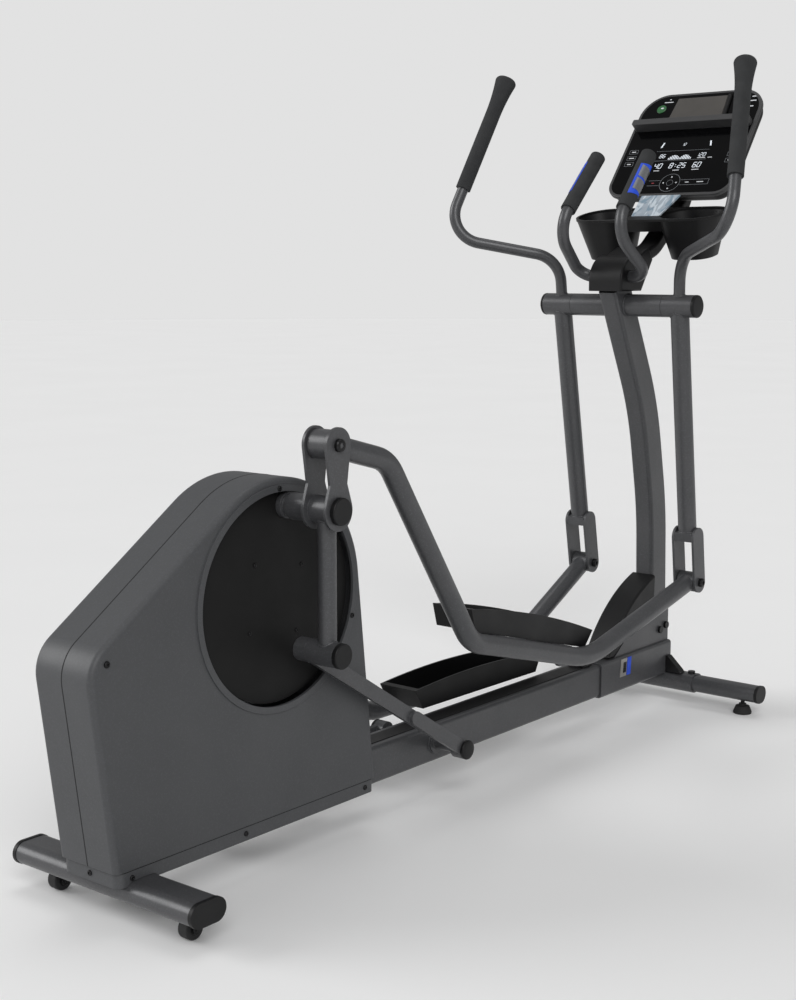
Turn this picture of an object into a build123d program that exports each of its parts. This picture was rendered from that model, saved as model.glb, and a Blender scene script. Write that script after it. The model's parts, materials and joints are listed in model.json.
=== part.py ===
from build123d import *
import os
from math import atan2, cos, degrees, hypot, radians, sin

# Elliptical trainer with a rear drive. Millimetres, +Z up, +Y the way the user faces, +X the user's right.
# The floor is z = 0. Along Y every length is measured from the crank axle, which stands at crank_y, so that
# the origin is the middle of the machine's footprint.

os.makedirs("parts", exist_ok=True)

# ---- overall ----
rear_reach = 444.0  # crank axle back to the rearmost point of the shroud
front_reach = 1690.0  # crank axle forward to the top edge of the console
crank_y = (rear_reach - front_reach) / 2

# ---- linkage ----
crank_height = 509.0
crank_radius = 171.0
crank_phase = 8.6  # degrees that the right crank pin stands forward of the top
link_below = 261.0  # crank pin down to the guide joint
link_above = 117.0  # crank pin up to the lever pivot
guide_length = 564.0
guide_pivot = (crank_y + 502.0, 115.0)
lever_length = 1396.0
swing_length = 672.0
swing_pivot = (crank_y + 1265.0, 1012.0)
lever_bends = [(172.0, 12.0), (547.0, -276.0), (999.0, -246.0)]  # along and off the line of its two pivots
lever_bend_radii = [80.0, 90.0, 260.0]

# ---- places across the machine ----
lever_x = 163.0
plate_gap = 47.0  # between the two plates that flank a lever end
plate_thick = 6.0
plate_out = lever_x + plate_gap / 2 + plate_thick
shroud_half = 73.0
disc_x = 57.0
disc_thick = 4.0
arm_x = 44.0
arm_thick = 10.0

# ---- fits ----
running = 0.05  # radial clearance of a turning joint
gap = 0.3  # space between neighbours on different bodies

# ---- tubes ----
lever_tube = 42.0
swing_tube = 44.0
link_tube = 34.0
pin_tube = 50.0
guide_tube = 47.0
hub_tube = 53.0
handle_tube = 27.0
bar_tube = 28.0
grip_tube = 37.0
tube_wall = 2.5
pin_radius = 10.0
bolt_radius = 6.0
axle_radius = 9.0

# ---- frame ----
rail_half = 37.0
rail_low = 74.0
rail_high = 152.0
rail_rear = crank_y - 366.0
rail_front = crank_y + 1230.0
sleeve_rear = crank_y + 1150.0
frame_front = crank_y + 1482.0
column_half = 25.0
column_depth = 74.0
rear_bar_y = crank_y - 342.0
rear_bar_z = 66.0
rear_bar_half = 222.0
front_bar_y = crank_y + 1480.0
front_bar_z = 54.0
front_bar_half = 290.0
bar_cap = 8.0
wheel_x = 169.0
wheel_radius = 20.0
foot_x = 249.0

# ---- drive ----
pulley_radius = 128.0
flywheel_pulley_radius = 16.0
flywheel_radius = 130.0
flywheel_centre = (crank_y - 255.0, 290.0)
belt_x = 15.0
belt_width = 10.0
belt_thick = 3.0
inner_plate_x = 30.0
inner_plate_thick = 4.0

# ---- shroud ----
crown_radius = 222.0
heel_centre = (crank_y - 372.0, 436.0)
heel_radius = 72.0
shroud_floor = 107.0
shroud_wall = 3.0
opening_radius = 197.0
trim_floor = 80.0

# ---- console ----
console_centre = (crank_y + 1566.5, 1410.5)
console_tilt = 52.5  # degrees of the panel from level
console_half = 175.0
console_length = 337.0
bezel_thick = 9.0
console_depth = 39.0


def meet(centre_a, reach_a, centre_b, reach_b):
    """The point at reach_a from a and reach_b from b, on the right hand of the way from a to b."""
    span_y = centre_b[0] - centre_a[0]
    span_z = centre_b[1] - centre_a[1]
    span = hypot(span_y, span_z)
    along_span = (reach_a**2 - reach_b**2 + span**2) / (2 * span)
    off_span = (reach_a**2 - along_span**2) ** 0.5
    return (
        centre_a[0] + (along_span * span_y + off_span * span_z) / span,
        centre_a[1] + (along_span * span_z - off_span * span_y) / span,
    )


def from_line(start, end, forward, left):
    """The point forward along the line from start to end, and left of it."""
    span_y = end[0] - start[0]
    span_z = end[1] - start[1]
    span = hypot(span_y, span_z)
    return (
        start[0] + (forward * span_y - left * span_z) / span,
        start[1] + (forward * span_z + left * span_y) / span,
    )


def joints_of(side):
    """The five pivots of one side's linkage, as (y, z), with the two cranks half a turn apart."""
    angle = radians(crank_phase if side > 0 else crank_phase + 180)
    pin = (crank_y + crank_radius * sin(angle), crank_height + crank_radius * cos(angle))
    guide = meet(pin, link_below, guide_pivot, guide_length)
    rear = from_line(guide, pin, link_below + link_above, 0)
    front = meet(rear, lever_length, swing_pivot, swing_length)
    return {"pin": pin, "guide": guide, "rear": rear, "front": front}


pivots = {1: joints_of(1), -1: joints_of(-1)}
side_names = {1: "right", -1: "left"}


def save(piece, label):
    piece.part.label = label
    export_step(piece.part, f"parts/{label}.step")


def rod(start_x, end_x, centre, radius, mode=Mode.ADD):
    """A round bar across the machine, from start_x to end_x."""
    with BuildSketch(Plane.YZ.offset(start_x)) as disc:
        with Locations(centre):
            Circle(radius)
    extrude(disc.sketch, amount=end_x - start_x, mode=mode)


def plate(start_x, end_x, points, mode=Mode.ADD):
    """A flat plate in the side view, from start_x to end_x."""
    with BuildSketch(Plane.YZ.offset(start_x)) as outline:
        with BuildLine():
            Polyline(*points, close=True)
        make_face()
    extrude(outline.sketch, amount=end_x - start_x, mode=mode)


def strap(start_x, end_x, start, end, start_radius, end_radius, mode=Mode.ADD):
    """A plate with two round ends joined by their tangents, from start_x to end_x."""
    with BuildSketch(Plane.YZ.offset(start_x)) as outline:
        with BuildLine():
            CenterArc(start, start_radius, 0, 360)
            CenterArc(end, end_radius, 0, 360)
        make_hull()
    extrude(outline.sketch, amount=end_x - start_x, mode=mode)


def tube(points, bends, outer, bore=0.0, mode=Mode.ADD):
    """A round tube along straight runs with bends of the given radii."""
    with BuildLine() as route:
        if bends:
            FilletPolyline(*points, radius=bends)
        else:
            Line(*points)
    with BuildSketch(Plane(origin=route.line @ 0, z_dir=route.line % 0)) as section:
        Circle(outer / 2)
        if bore:
            Circle(bore / 2, mode=Mode.SUBTRACT)
    sweep(section.sketch, path=route.line, mode=mode)


def oval_bar(start_x, end_x, centre, width, height, mode=Mode.ADD):
    """A bar of flat oval section across the machine."""
    with BuildSketch(Plane.YZ.offset(start_x)) as section:
        with Locations(centre):
            SlotOverall(width, height)
    extrude(section.sketch, amount=end_x - start_x, mode=mode)


def handle_point(side, across, forward, left):
    """A point of the moving handle, laid out from the hub along the line down to the lever joint."""
    place = from_line(swing_pivot, pivots[side]["front"], forward, left)
    return (side * across, place[0], place[1])


# ==== fixed frame ====

with BuildPart() as main_rail:
    with BuildSketch(Plane.XZ.offset(-rail_rear)):
        with Locations((0, (rail_low + rail_high) / 2)):
            RectangleRounded(2 * rail_half, rail_high - rail_low, 8)
            RectangleRounded(2 * rail_half - 6, rail_high - rail_low - 6, 5, mode=Mode.SUBTRACT)
    extrude(amount=-(rail_front - rail_rear))
    oval_bar(-60, 60, (rear_bar_y, rear_bar_z), 78.4, 41.4, Mode.SUBTRACT)
save(main_rail, "main_rail")

sleeve_half = rail_half + 4
sleeve_high = rail_high + 4
socket_half = column_half + 6
socket_high = 262.0
with BuildPart() as front_frame:
    with BuildSketch(Plane.XZ.offset(-sleeve_rear)):
        with Locations((0, (rail_low + rail_high) / 2)):
            RectangleRounded(2 * sleeve_half, sleeve_high - rail_low + 4, 8)
    extrude(amount=-(frame_front - sleeve_rear))
    plate(
        -socket_half,
        socket_half,
        [
            (sleeve_rear + 60, sleeve_high - 10),
            (frame_front, sleeve_high - 10),
            (frame_front, socket_high),
            (crank_y + 1400, socket_high),
            (crank_y + 1320, 226),
        ],
    )
    oval_bar(-118, 118, (front_bar_y, front_bar_z), 60, 47)
    oval_bar(-119, 119, (front_bar_y, front_bar_z), 50.4, 41.4, Mode.SUBTRACT)
    with BuildSketch(Plane.XZ.offset(-sleeve_rear)):
        with Locations((0, (rail_low + rail_high) / 2)):
            RectangleRounded(2 * rail_half + 1, rail_high - rail_low + 1, 8.5)
    extrude(amount=-(rail_front + 1 - sleeve_rear), mode=Mode.SUBTRACT)
save(front_frame, "front_frame")

with BuildPart() as column:
    with BuildLine() as column_line:
        FilletPolyline(
            (0, crank_y + 1450, sleeve_high - 20),
            (0, crank_y + 1437, 500),
            (0, crank_y + 1385, 760),
            (0, crank_y + 1238, 1058),
            radius=[900, 700],
        )
    with BuildSketch(Plane(origin=column_line.line @ 0, x_dir=(1, 0, 0), z_dir=column_line.line % 0)) as section:
        RectangleRounded(2 * column_half, column_depth, 9)
        RectangleRounded(2 * column_half - 6, column_depth - 6, 6, mode=Mode.SUBTRACT)
    sweep(section.sketch, path=column_line.line)
    rod(-60, 60, swing_pivot, hub_tube / 2, Mode.SUBTRACT)
save(column, "column")

with BuildPart() as socket_pocket:
    with BuildSketch(Plane(origin=column_line.line @ 0, x_dir=(1, 0, 0), z_dir=column_line.line % 0)) as pocket:
        RectangleRounded(2 * column_half, column_depth, 9)
    sweep(pocket.sketch, path=column_line.line)

front_frame.part -= socket_pocket.part
save(front_frame, "front_frame")

with BuildPart() as column_boot:
    with BuildSketch(Plane.YZ.offset(-socket_half - 3)) as outline:
        with BuildLine():
            Polyline(
                (crank_y + 1330, 233),
                (crank_y + 1215, sleeve_high + 6),
                (crank_y + 1190, sleeve_high + 6),
            )
            ThreePointArc(
                (crank_y + 1190, sleeve_high + 6),
                (crank_y + 1282, 268),
                (crank_y + 1406, 335),
            )
            Polyline(
                (crank_y + 1406, 335),
                (crank_y + 1402, socket_high + 0.5),
                (crank_y + 1396, socket_high + 0.5),
                (crank_y + 1330, 233),
            )
        make_face()
    extrude(outline.sketch, amount=2 * socket_half + 6)
    fillet(column_boot.edges().filter_by(GeomType.CIRCLE).sort_by(Axis.X)[0], 6)
    fillet(column_boot.edges().filter_by(GeomType.CIRCLE).sort_by(Axis.X)[-1], 6)
column_boot.part -= socket_pocket.part
column_boot.part -= front_frame.part
save(column_boot, "column_boot")

with BuildPart() as crossbar:
    rod(-lever_x + 38, lever_x - 38, swing_pivot, hub_tube / 2)
    rod(-lever_x + 37, lever_x - 37, swing_pivot, axle_radius, Mode.SUBTRACT)
save(crossbar, "crossbar")

with BuildPart() as crossbar_axle:
    rod(-206, 206, swing_pivot, axle_radius)
save(crossbar_axle, "crossbar_axle")

with BuildPart() as neck_cover:
    with BuildSketch(Plane.YZ.offset(-46)) as outline:
        with BuildLine():
            Polyline(
                (crank_y + 1196, 1046),
                (crank_y + 1290, 1046),
                (crank_y + 1340, 1120),
                (crank_y + 1320, 1150),
                (crank_y + 1268, 1128),
            )
            ThreePointArc(
                (crank_y + 1268, 1128),
                (crank_y + 1214, 1112),
                (crank_y + 1196, 1070),
            )
            Line((crank_y + 1196, 1070), (crank_y + 1196, 1046))
        make_face()
    extrude(outline.sketch, amount=92)
    fillet(neck_cover.faces().filter_by(Axis.X).edges(), 5)
    tube(
        [(-60, crank_y + 1237, 1081), (60, crank_y + 1237, 1081)],
        [],
        bar_tube,
        mode=Mode.SUBTRACT,
    )
neck_cover.part -= socket_pocket.part
with BuildPart() as console_arm:
    with BuildLine() as arm_line:
        FilletPolyline(
            (0, crank_y + 1262, 1096),
            (0, crank_y + 1400, 1146),
            (0, crank_y + 1546, 1262),
            (0, crank_y + 1580, 1360),
            radius=[90, 60],
        )
    with BuildSketch(Plane(origin=arm_line.line @ 0, x_dir=(1, 0, 0), z_dir=arm_line.line % 0)) as section:
        RectangleRounded(50, 30, 7)
        RectangleRounded(44, 24, 4, mode=Mode.SUBTRACT)
    sweep(section.sketch, path=arm_line.line)
console_arm.part -= socket_pocket.part

# ==== stabilisers, wheels and feet ====

with BuildPart() as rail_studs:
    for side in (-1, 1):
        rod(side * rail_half, side * (rail_half + 6), guide_pivot, 22)
        rod(side * (rail_half + 6), side * 91, guide_pivot, 12)
save(rail_studs, "rail_studs")

with BuildPart() as rear_stabiliser:
    oval_bar(-rear_bar_half, rear_bar_half, (rear_bar_y, rear_bar_z), 78, 41)
    oval_bar(-rear_bar_half - 1, rear_bar_half + 1, (rear_bar_y, rear_bar_z), 73, 36, Mode.SUBTRACT)
save(rear_stabiliser, "rear_stabiliser")

with BuildPart() as front_stabiliser:
    oval_bar(-front_bar_half, front_bar_half, (front_bar_y, front_bar_z), 50, 41)
    oval_bar(-front_bar_half - 1, front_bar_half + 1, (front_bar_y, front_bar_z), 45, 36, Mode.SUBTRACT)
save(front_stabiliser, "front_stabiliser")

with BuildPart() as stabiliser_caps:
    for side in (-1, 1):
        oval_bar(side * rear_bar_half, side * (rear_bar_half + bar_cap), (rear_bar_y, rear_bar_z), 80, 43)
        oval_bar(side * front_bar_half, side * (front_bar_half + bar_cap), (front_bar_y, front_bar_z), 52, 43)
save(stabiliser_caps, "stabiliser_caps")

with BuildPart() as front_brackets:
    for side in (-1, 1):
        with BuildSketch(Plane.XZ.offset(-(frame_front - 26))) as triangle:
            with BuildLine():
                foot = front_bar_z + 24
                Polyline(
                    (side * sleeve_half, foot),
                    (side * (sleeve_half + 46), foot),
                    (side * (sleeve_half + 40), foot + 8),
                    (side * (sleeve_half + 6), foot + 40),
                    (side * sleeve_half, foot + 40),
                    close=True,
                )
            make_face()
        extrude(triangle.sketch, amount=-20)
save(front_brackets, "front_brackets")

with BuildPart() as frame_bolts:
    for side in (-1, 1):
        for bolt_y, bolt_z in ((frame_front - 14, 196), (frame_front - 42, 188)):
            rod(side * socket_half, side * (socket_half + 6), (bolt_y, bolt_z), 9)
    with BuildSketch(Plane.XY.offset(front_bar_z + 23.6)):
        with Locations((-104, front_bar_y), (104, front_bar_y)):
            Circle(9)
    extrude(amount=6)
save(frame_bolts, "frame_bolts")

fork_top = rear_bar_z - 20.6
with BuildPart() as wheel_forks:
    for side in (-1, 1):
        with Locations((side * wheel_x, rear_bar_y + 16, fork_top - 2)):
            Box(34, 34, 4)
        for cheek in (-15, 15):
            strap(
                side * wheel_x + cheek - 2,
                side * wheel_x + cheek + 2,
                (rear_bar_y + 16, wheel_radius),
                (rear_bar_y + 16, fork_top - 9),
                9,
                9,
            )
        rod(side * wheel_x - 19, side * wheel_x + 19, (rear_bar_y + 16, wheel_radius), 4)
save(wheel_forks, "wheel_forks")

for side in (-1, 1):
    with BuildPart() as rear_wheel:
        rod(side * wheel_x - 11, side * wheel_x + 11, (rear_bar_y + 16, wheel_radius), wheel_radius)
        fillet(rear_wheel.edges().filter_by(GeomType.CIRCLE), 2.5)
        rod(side * wheel_x - 12, side * wheel_x + 12, (rear_bar_y + 16, wheel_radius), 4 + running, Mode.SUBTRACT)
    save(rear_wheel, f"rear_wheel_{side_names[side]}")

stud_top = front_bar_z - 19.5
for side in (-1, 1):
    with BuildPart() as foot:
        with BuildSketch(Plane.XZ.offset(-front_bar_y)):
            with BuildLine():
                Polyline(
                    (side * foot_x, 0),
                    (side * foot_x + 22, 0),
                    (side * foot_x + 23, 4),
                    (side * foot_x + 17, 19),
                    (side * foot_x + 9, 21),
                    (side * foot_x + 9, 25),
                    (side * foot_x + 5, 25),
                    (side * foot_x + 5, stud_top - gap - 1),
                    (side * foot_x, stud_top - gap - 1),
                    close=True,
                )
            make_face()
        revolve(axis=Axis((side * foot_x, front_bar_y, 0), (0, 0, 1)))
    save(foot, f"front_foot_{side_names[side]}")

# ==== rear drive, inside the shroud ====

with BuildPart() as inner_frame:
    for side in (-1, 1):
        inner_face = side * inner_plate_x
        outer_face = side * (inner_plate_x + inner_plate_thick)
        plate(
            inner_face,
            outer_face,
            [
                (crank_y - 330, rail_high),
                (crank_y + 120, rail_high),
                (crank_y + 38, crank_height - 20),
                (crank_y + 10, crank_height + 38),
                (crank_y - 30, crank_height + 30),
                (crank_y - 90, 350),
                (crank_y - 200, 330),
                (crank_y - 280, 330),
                (crank_y - 318, 280),
            ],
        )
        rod(inner_face, side * (inner_plate_x + 12), (crank_y, crank_height), 31)
        rod(side * 20, side * 50, (crank_y, crank_height), 21, Mode.SUBTRACT)
        rod(side * 20, side * 50, flywheel_centre, 6, Mode.SUBTRACT)
save(inner_frame, "inner_frame")

with BuildPart() as crank_bearings:
    for side in (-1, 1):
        rod(side * inner_plate_x, side * (inner_plate_x + 12), (crank_y, crank_height), 21)
        rod(side * 20, side * 50, (crank_y, crank_height), pin_radius + running, Mode.SUBTRACT)
save(crank_bearings, "crank_bearings")

with BuildPart() as crank_axle:
    rod(-disc_x + 0.5, disc_x - 0.5, (crank_y, crank_height), pin_radius)
save(crank_axle, "crank_axle")

with BuildPart() as crank_arms:
    for side in (-1, 1):
        pin = pivots[side]["pin"]
        strap(side * arm_x, side * (arm_x + arm_thick), (crank_y, crank_height), pin, 26, 22)
        rod(side * arm_x, side * (plate_out + 0.5), pin, pin_radius)
        rod(side * arm_x, side * (arm_x + arm_thick), (crank_y, crank_height), pin_radius, Mode.SUBTRACT)
        rod(side * (disc_x + disc_thick), side * 72, pin, 24)
        rod(side * 72, side * 80, pin, 19)
save(crank_arms, "crank_arms")

with BuildPart() as crank_discs:
    for side in (-1, 1):
        pin = pivots[side]["pin"]
        rod(side * disc_x, side * (disc_x + disc_thick), (crank_y, crank_height), opening_radius - 4)
        rod(side * disc_x, side * (disc_x + disc_thick), pin, pin_radius, Mode.SUBTRACT)
save(crank_discs, "crank_discs")

with BuildPart() as drive_pulley:
    rod(belt_x - 2, belt_x + belt_width + 2, (crank_y, crank_height), pulley_radius)
    rod(belt_x - 3, belt_x + belt_width - 3, (crank_y, crank_height), pulley_radius - 12, Mode.SUBTRACT)
    rod(belt_x - 6, belt_x + belt_width, (crank_y, crank_height), 28)
    with BuildSketch(Plane.YZ.offset(belt_x + belt_width - 4)) as windows:
        with Locations((crank_y, crank_height)):
            with PolarLocations(74, 5):
                Circle(24)
    extrude(windows.sketch, amount=8, mode=Mode.SUBTRACT)
    rod(belt_x - 8, belt_x + belt_width + 4, (crank_y, crank_height), pin_radius, Mode.SUBTRACT)
save(drive_pulley, "drive_pulley")

with BuildPart() as flywheel_axle:
    rod(-inner_plate_x - 10, inner_plate_x + 10, flywheel_centre, 6)
save(flywheel_axle, "flywheel_axle")

with BuildPart() as flywheel:
    rod(-15, 12, flywheel_centre, flywheel_radius)
    rod(-16, -6, flywheel_centre, flywheel_radius - 22, Mode.SUBTRACT)
    rod(3, 13, flywheel_centre, flywheel_radius - 22, Mode.SUBTRACT)
    rod(-12, belt_x + belt_width + 1, flywheel_centre, flywheel_pulley_radius)
    rod(-30, 40, flywheel_centre, 6 + running, Mode.SUBTRACT)
save(flywheel, "flywheel")

with BuildPart() as drive_belt:
    wheels = [((crank_y, crank_height), pulley_radius), (flywheel_centre, flywheel_pulley_radius)]
    for spare, mode in ((gap + belt_thick, Mode.ADD), (gap, Mode.SUBTRACT)):
        strap(
            belt_x - (1 if mode == Mode.SUBTRACT else 0),
            belt_x + belt_width + (1 if mode == Mode.SUBTRACT else 0),
            wheels[0][0],
            wheels[1][0],
            wheels[0][1] + spare,
            wheels[1][1] + spare,
            mode,
        )
save(drive_belt, "drive_belt")

with BuildPart() as brake_magnets:
    with BuildSketch(Plane.YZ.offset(-inner_plate_x)) as horseshoe:
        with BuildLine():
            CenterArc(flywheel_centre, flywheel_radius + 16, 195, 60)
            CenterArc(flywheel_centre, flywheel_radius + 4, 195, 60)
            for angle in (195, 255):
                Line(
                    (
                        flywheel_centre[0] + (flywheel_radius + 4) * cos(radians(angle)),
                        flywheel_centre[1] + (flywheel_radius + 4) * sin(radians(angle)),
                    ),
                    (
                        flywheel_centre[0] + (flywheel_radius + 16) * cos(radians(angle)),
                        flywheel_centre[1] + (flywheel_radius + 16) * sin(radians(angle)),
                    ),
                )
        make_face()
    extrude(horseshoe.sketch, amount=2 * inner_plate_x)
    rod(-50, 50, flywheel_centre, flywheel_radius + 2, Mode.SUBTRACT)
    with Locations((0, flywheel_centre[0] - 70, rail_high - 20)):
        Box(100, 300, 40, mode=Mode.SUBTRACT)
save(brake_magnets, "brake_magnets")

# ==== shroud ====


def shroud_outline(inset):
    """The shroud's side view: tangents round the crown, the heel and the two bottom corners."""
    with BuildSketch(Plane.YZ.offset(0)) as outline:
        with BuildLine():
            for centre, radius in (
                ((crank_y, crank_height), crown_radius),
                (heel_centre, heel_radius),
                ((crank_y - 383, shroud_floor - 30), 14),
                ((crank_y + 256, shroud_floor - 30), 14),
            ):
                CenterArc(centre, radius - inset, 0, 360)
        make_hull()
    return outline.sketch


def shroud_shell(side):
    """One half of the shroud, split at the machine's middle plane."""
    outer_side = -1 if side > 0 else 0
    with BuildPart() as cavity:
        extrude(shroud_outline(shroud_wall), amount=side * (shroud_half - shroud_wall))
        fillet(cavity.faces().filter_by(Axis.X).sort_by(Axis.X)[outer_side].edges(), 11 - shroud_wall)
    with BuildPart() as shell:
        extrude(shroud_outline(0), amount=side * shroud_half)
        fillet(shell.faces().filter_by(Axis.X).sort_by(Axis.X)[outer_side].edges(), 11)
        rod(side * (shroud_half - 1), side * (shroud_half + 3), (crank_y, crank_height), opening_radius + 12)
        add(cavity.part, mode=Mode.SUBTRACT)
        rod(side * 40, side * 90, (crank_y, crank_height), opening_radius, Mode.SUBTRACT)
        with BuildSketch(Plane.XY.offset(shroud_floor - 60)) as below:
            Rectangle(400, 3000)
        extrude(below.sketch, amount=60, mode=Mode.SUBTRACT)
        with BuildSketch(Plane.XY.offset(shroud_floor - 20)) as rail_slot:
            with Locations((0, crank_y + 200)):
                Rectangle(2 * rail_half + 3, 800)
        extrude(rail_slot.sketch, amount=rail_high + 2 - shroud_floor + 20, mode=Mode.SUBTRACT)
    return shell


for side in (-1, 1):
    save(shroud_shell(side), f"shroud_{side_names[side]}")

with BuildPart() as base_trim:
    with BuildSketch(Plane.XY.offset(trim_floor)):
        with Locations((0, crank_y - 66)):
            RectangleRounded(2 * shroud_half - 2, 660, 16)
    extrude(amount=shroud_floor - trim_floor - 0.2)
    with BuildSketch(Plane.XY.offset(trim_floor + shroud_wall)):
        with Locations((0, crank_y - 66)):
            RectangleRounded(2 * shroud_half - 8, 654, 13)
    extrude(amount=shroud_floor - trim_floor, mode=Mode.SUBTRACT)
    with BuildSketch(Plane.XY.offset(trim_floor - 1)):
        with Locations((0, crank_y)):
            Rectangle(2 * rail_half + 3, 740)
    extrude(amount=shroud_floor - trim_floor + 2, mode=Mode.SUBTRACT)
    oval_bar(-100, 100, (rear_bar_y, rear_bar_z), 79, 42, Mode.SUBTRACT)
save(base_trim, "base_trim")

screw_places = [
    (crank_y - 395, 405),
    (crank_y - 66, 716),
    (crank_y + 232, 420),
    (crank_y - 380, 132),
    (crank_y - 90, 132),
    (crank_y + 235, 132),
]
with BuildPart() as shroud_screws:
    for side in (-1, 1):
        for place in screw_places:
            rod(side * (shroud_half + 0.1), side * (shroud_half + 1.4), place, 6.5)
save(shroud_screws, "shroud_screws")

# ==== linkage, one set for each side ====

for side in (-1, 1):
    name = side_names[side]
    pin = pivots[side]["pin"]
    guide = pivots[side]["guide"]
    rear = pivots[side]["rear"]
    front = pivots[side]["front"]
    inner_plate_face = lever_x - plate_gap / 2

    with BuildPart() as stroke_link:
        rod(side * 84, side * plate_out, pin, pin_tube / 2)
        for plate_x in (inner_plate_face - plate_thick, lever_x + plate_gap / 2):
            start = side * plate_x
            end = side * (plate_x + plate_thick)
            strap(start, end, pin, from_line(pin, rear, 48, 0), 36, 21)
            strap(start, end, from_line(pin, rear, 40, 0), rear, 21, 32)
        tube([(side * lever_x, *pin), (side * lever_x, *guide)], [], link_tube)
        rod(side * 127, side * plate_out, guide, guide_tube / 2)
        rod(side * 80, side * 220, pin, pin_radius + running, Mode.SUBTRACT)
        rod(side * 120, side * (plate_out - 6), guide, 8 + running, Mode.SUBTRACT)
        rod(side * (inner_plate_face - plate_thick - 7), side * (plate_out + 7), rear, bolt_radius)
        rod(side * (plate_out), side * (plate_out + 7), rear, 11)
        rod(side * (inner_plate_face - plate_thick - 7), side * (inner_plate_face - plate_thick), rear, 11)
    save(stroke_link, f"stroke_link_{name}")

    with BuildPart() as link_caps:
        rod(side * (plate_out + 0.6), side * (plate_out + 10), pin, pin_tube / 2)
        rod(side * plate_out, side * (plate_out + 10), guide, guide_tube / 2)
        fillet(link_caps.edges().filter_by(GeomType.CIRCLE).group_by(Axis.X)[-1 if side > 0 else 0], 2.5)
    save(link_caps, f"link_caps_{name}")

    with BuildPart() as control_arm:
        crank_side = side * 98
        rod(crank_side, side * 125, guide, 22)
        rod(side * 124, side * (plate_out - 8), guide, 8)
        jog_start = from_line(guide, guide_pivot, 0.66 * guide_length, 0)
        jog_end = from_line(guide, guide_pivot, 0.74 * guide_length, 0)
        strap(crank_side, side * 110, guide, jog_end, 15, 14)
        strap(side * 106, side * 118, jog_start, guide_pivot, 14, 14)
        rod(side * 93, side * 118, guide_pivot, 20)
        rod(side * 118, side * 124, guide_pivot, 19)
        rod(side * 92, side * 116, guide_pivot, 10, Mode.SUBTRACT)
    save(control_arm, f"control_arm_{name}")

    bends = [from_line(rear, front, *bend) for bend in lever_bends]
    lever_route = [(side * lever_x, *rear)]
    lever_route += [(side * lever_x, *bend) for bend in bends]
    lever_route += [(side * lever_x, *front)]
    with BuildPart() as pedal_lever:
        tube(lever_route, lever_bend_radii, lever_tube)
        rod(side * (lever_x - 21.5), side * (lever_x + 21.5), rear, 27)
        rod(side * (lever_x - 21.5), side * (lever_x + 21.5), front, 24)
        for rest_start in (110, 340):
            plate(
                side * (lever_x - 95),
                side * (lever_x - 5),
                [
                    from_line(bends[1], bends[2], rest_start, 12),
                    from_line(bends[1], bends[2], rest_start + 50, 12),
                    from_line(bends[1], bends[2], rest_start + 50, 22),
                    from_line(bends[1], bends[2], rest_start, 22),
                ],
            )
        tube(
            lever_route,
            lever_bend_radii,
            lever_tube - 2 * tube_wall,
            mode=Mode.SUBTRACT,
        )
        rod(side * (lever_x - 21.5), side * (lever_x + 21.5), rear, 20)
        rod(side * (lever_x - 21.5), side * (lever_x + 21.5), front, 18)
        rod(side * (lever_x - 30), side * (lever_x + 30), rear, bolt_radius + running, Mode.SUBTRACT)
        rod(side * (lever_x - 30), side * (lever_x + 30), front, bolt_radius + running, Mode.SUBTRACT)
    save(pedal_lever, f"pedal_lever_{name}")

    def pedal_point(along, up):
        return from_line(bends[1], bends[2], along, up)

    with BuildPart() as pedal:
        with BuildSketch(Plane.YZ.offset(side * 40)) as profile:
            with BuildLine():
                Polyline(
                    pedal_point(18, 66),
                    pedal_point(44, 22.2),
                    pedal_point(472, 22.2),
                    pedal_point(494, 64),
                )
                Spline(pedal_point(494, 64), pedal_point(190, 77), pedal_point(18, 66))
            make_face()
        extrude(profile.sketch, amount=side * 100)
        with BuildSketch(Plane.YZ.offset(side * 44)) as hollow:
            with BuildLine():
                Polyline(
                    pedal_point(20, 90),
                    pedal_point(56, 30),
                    pedal_point(462, 30),
                    pedal_point(488, 90),
                    close=True,
                )
            make_face()
        extrude(hollow.sketch, amount=side * 92, mode=Mode.SUBTRACT)
    save(pedal, f"pedal_{name}")

    hub = (swing_pivot[0], swing_pivot[1])
    plate_top = from_line(front, swing_pivot, 112, 0)
    web_low = from_line(front, swing_pivot, 104, 0)
    with BuildPart() as swing_arm:
        tube(
            [(side * lever_x, *from_line(front, swing_pivot, 126, 0)), (side * lever_x, *hub)],
            [],
            swing_tube,
            swing_tube - 2 * tube_wall,
        )
        rod(side * 126, side * 205, hub, hub_tube / 2)
        for plate_x in (inner_plate_face - plate_thick, lever_x + plate_gap / 2):
            strap(side * plate_x, side * (plate_x + plate_thick), front, plate_top, 25, 25)
        plate(
            side * inner_plate_face,
            side * (lever_x + plate_gap / 2),
            [
                from_line(front, swing_pivot, 106, -24),
                from_line(front, swing_pivot, 106, 24),
                from_line(front, swing_pivot, 127, 24),
                from_line(front, swing_pivot, 127, -24),
            ],
        )
        rod(side * 120, side * 215, hub, axle_radius + running, Mode.SUBTRACT)
        for plate_x in (inner_plate_face - plate_thick - 1, lever_x + plate_gap / 2 - 1):
            rod(side * plate_x, side * (plate_x + plate_thick + 2), front, bolt_radius, Mode.SUBTRACT)
    save(swing_arm, f"swing_arm_{name}")

    with BuildPart() as clevis_bolts:
        for face_x, out in ((lever_x + plate_gap / 2, 1), (inner_plate_face, -1)):
            rod(side * face_x, side * (face_x + out * plate_thick), front, bolt_radius)
            rod(side * (face_x + out * plate_thick), side * (face_x + out * (plate_thick + 6)), front, 10.5)
    save(clevis_bolts, f"clevis_bolts_{name}")

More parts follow.
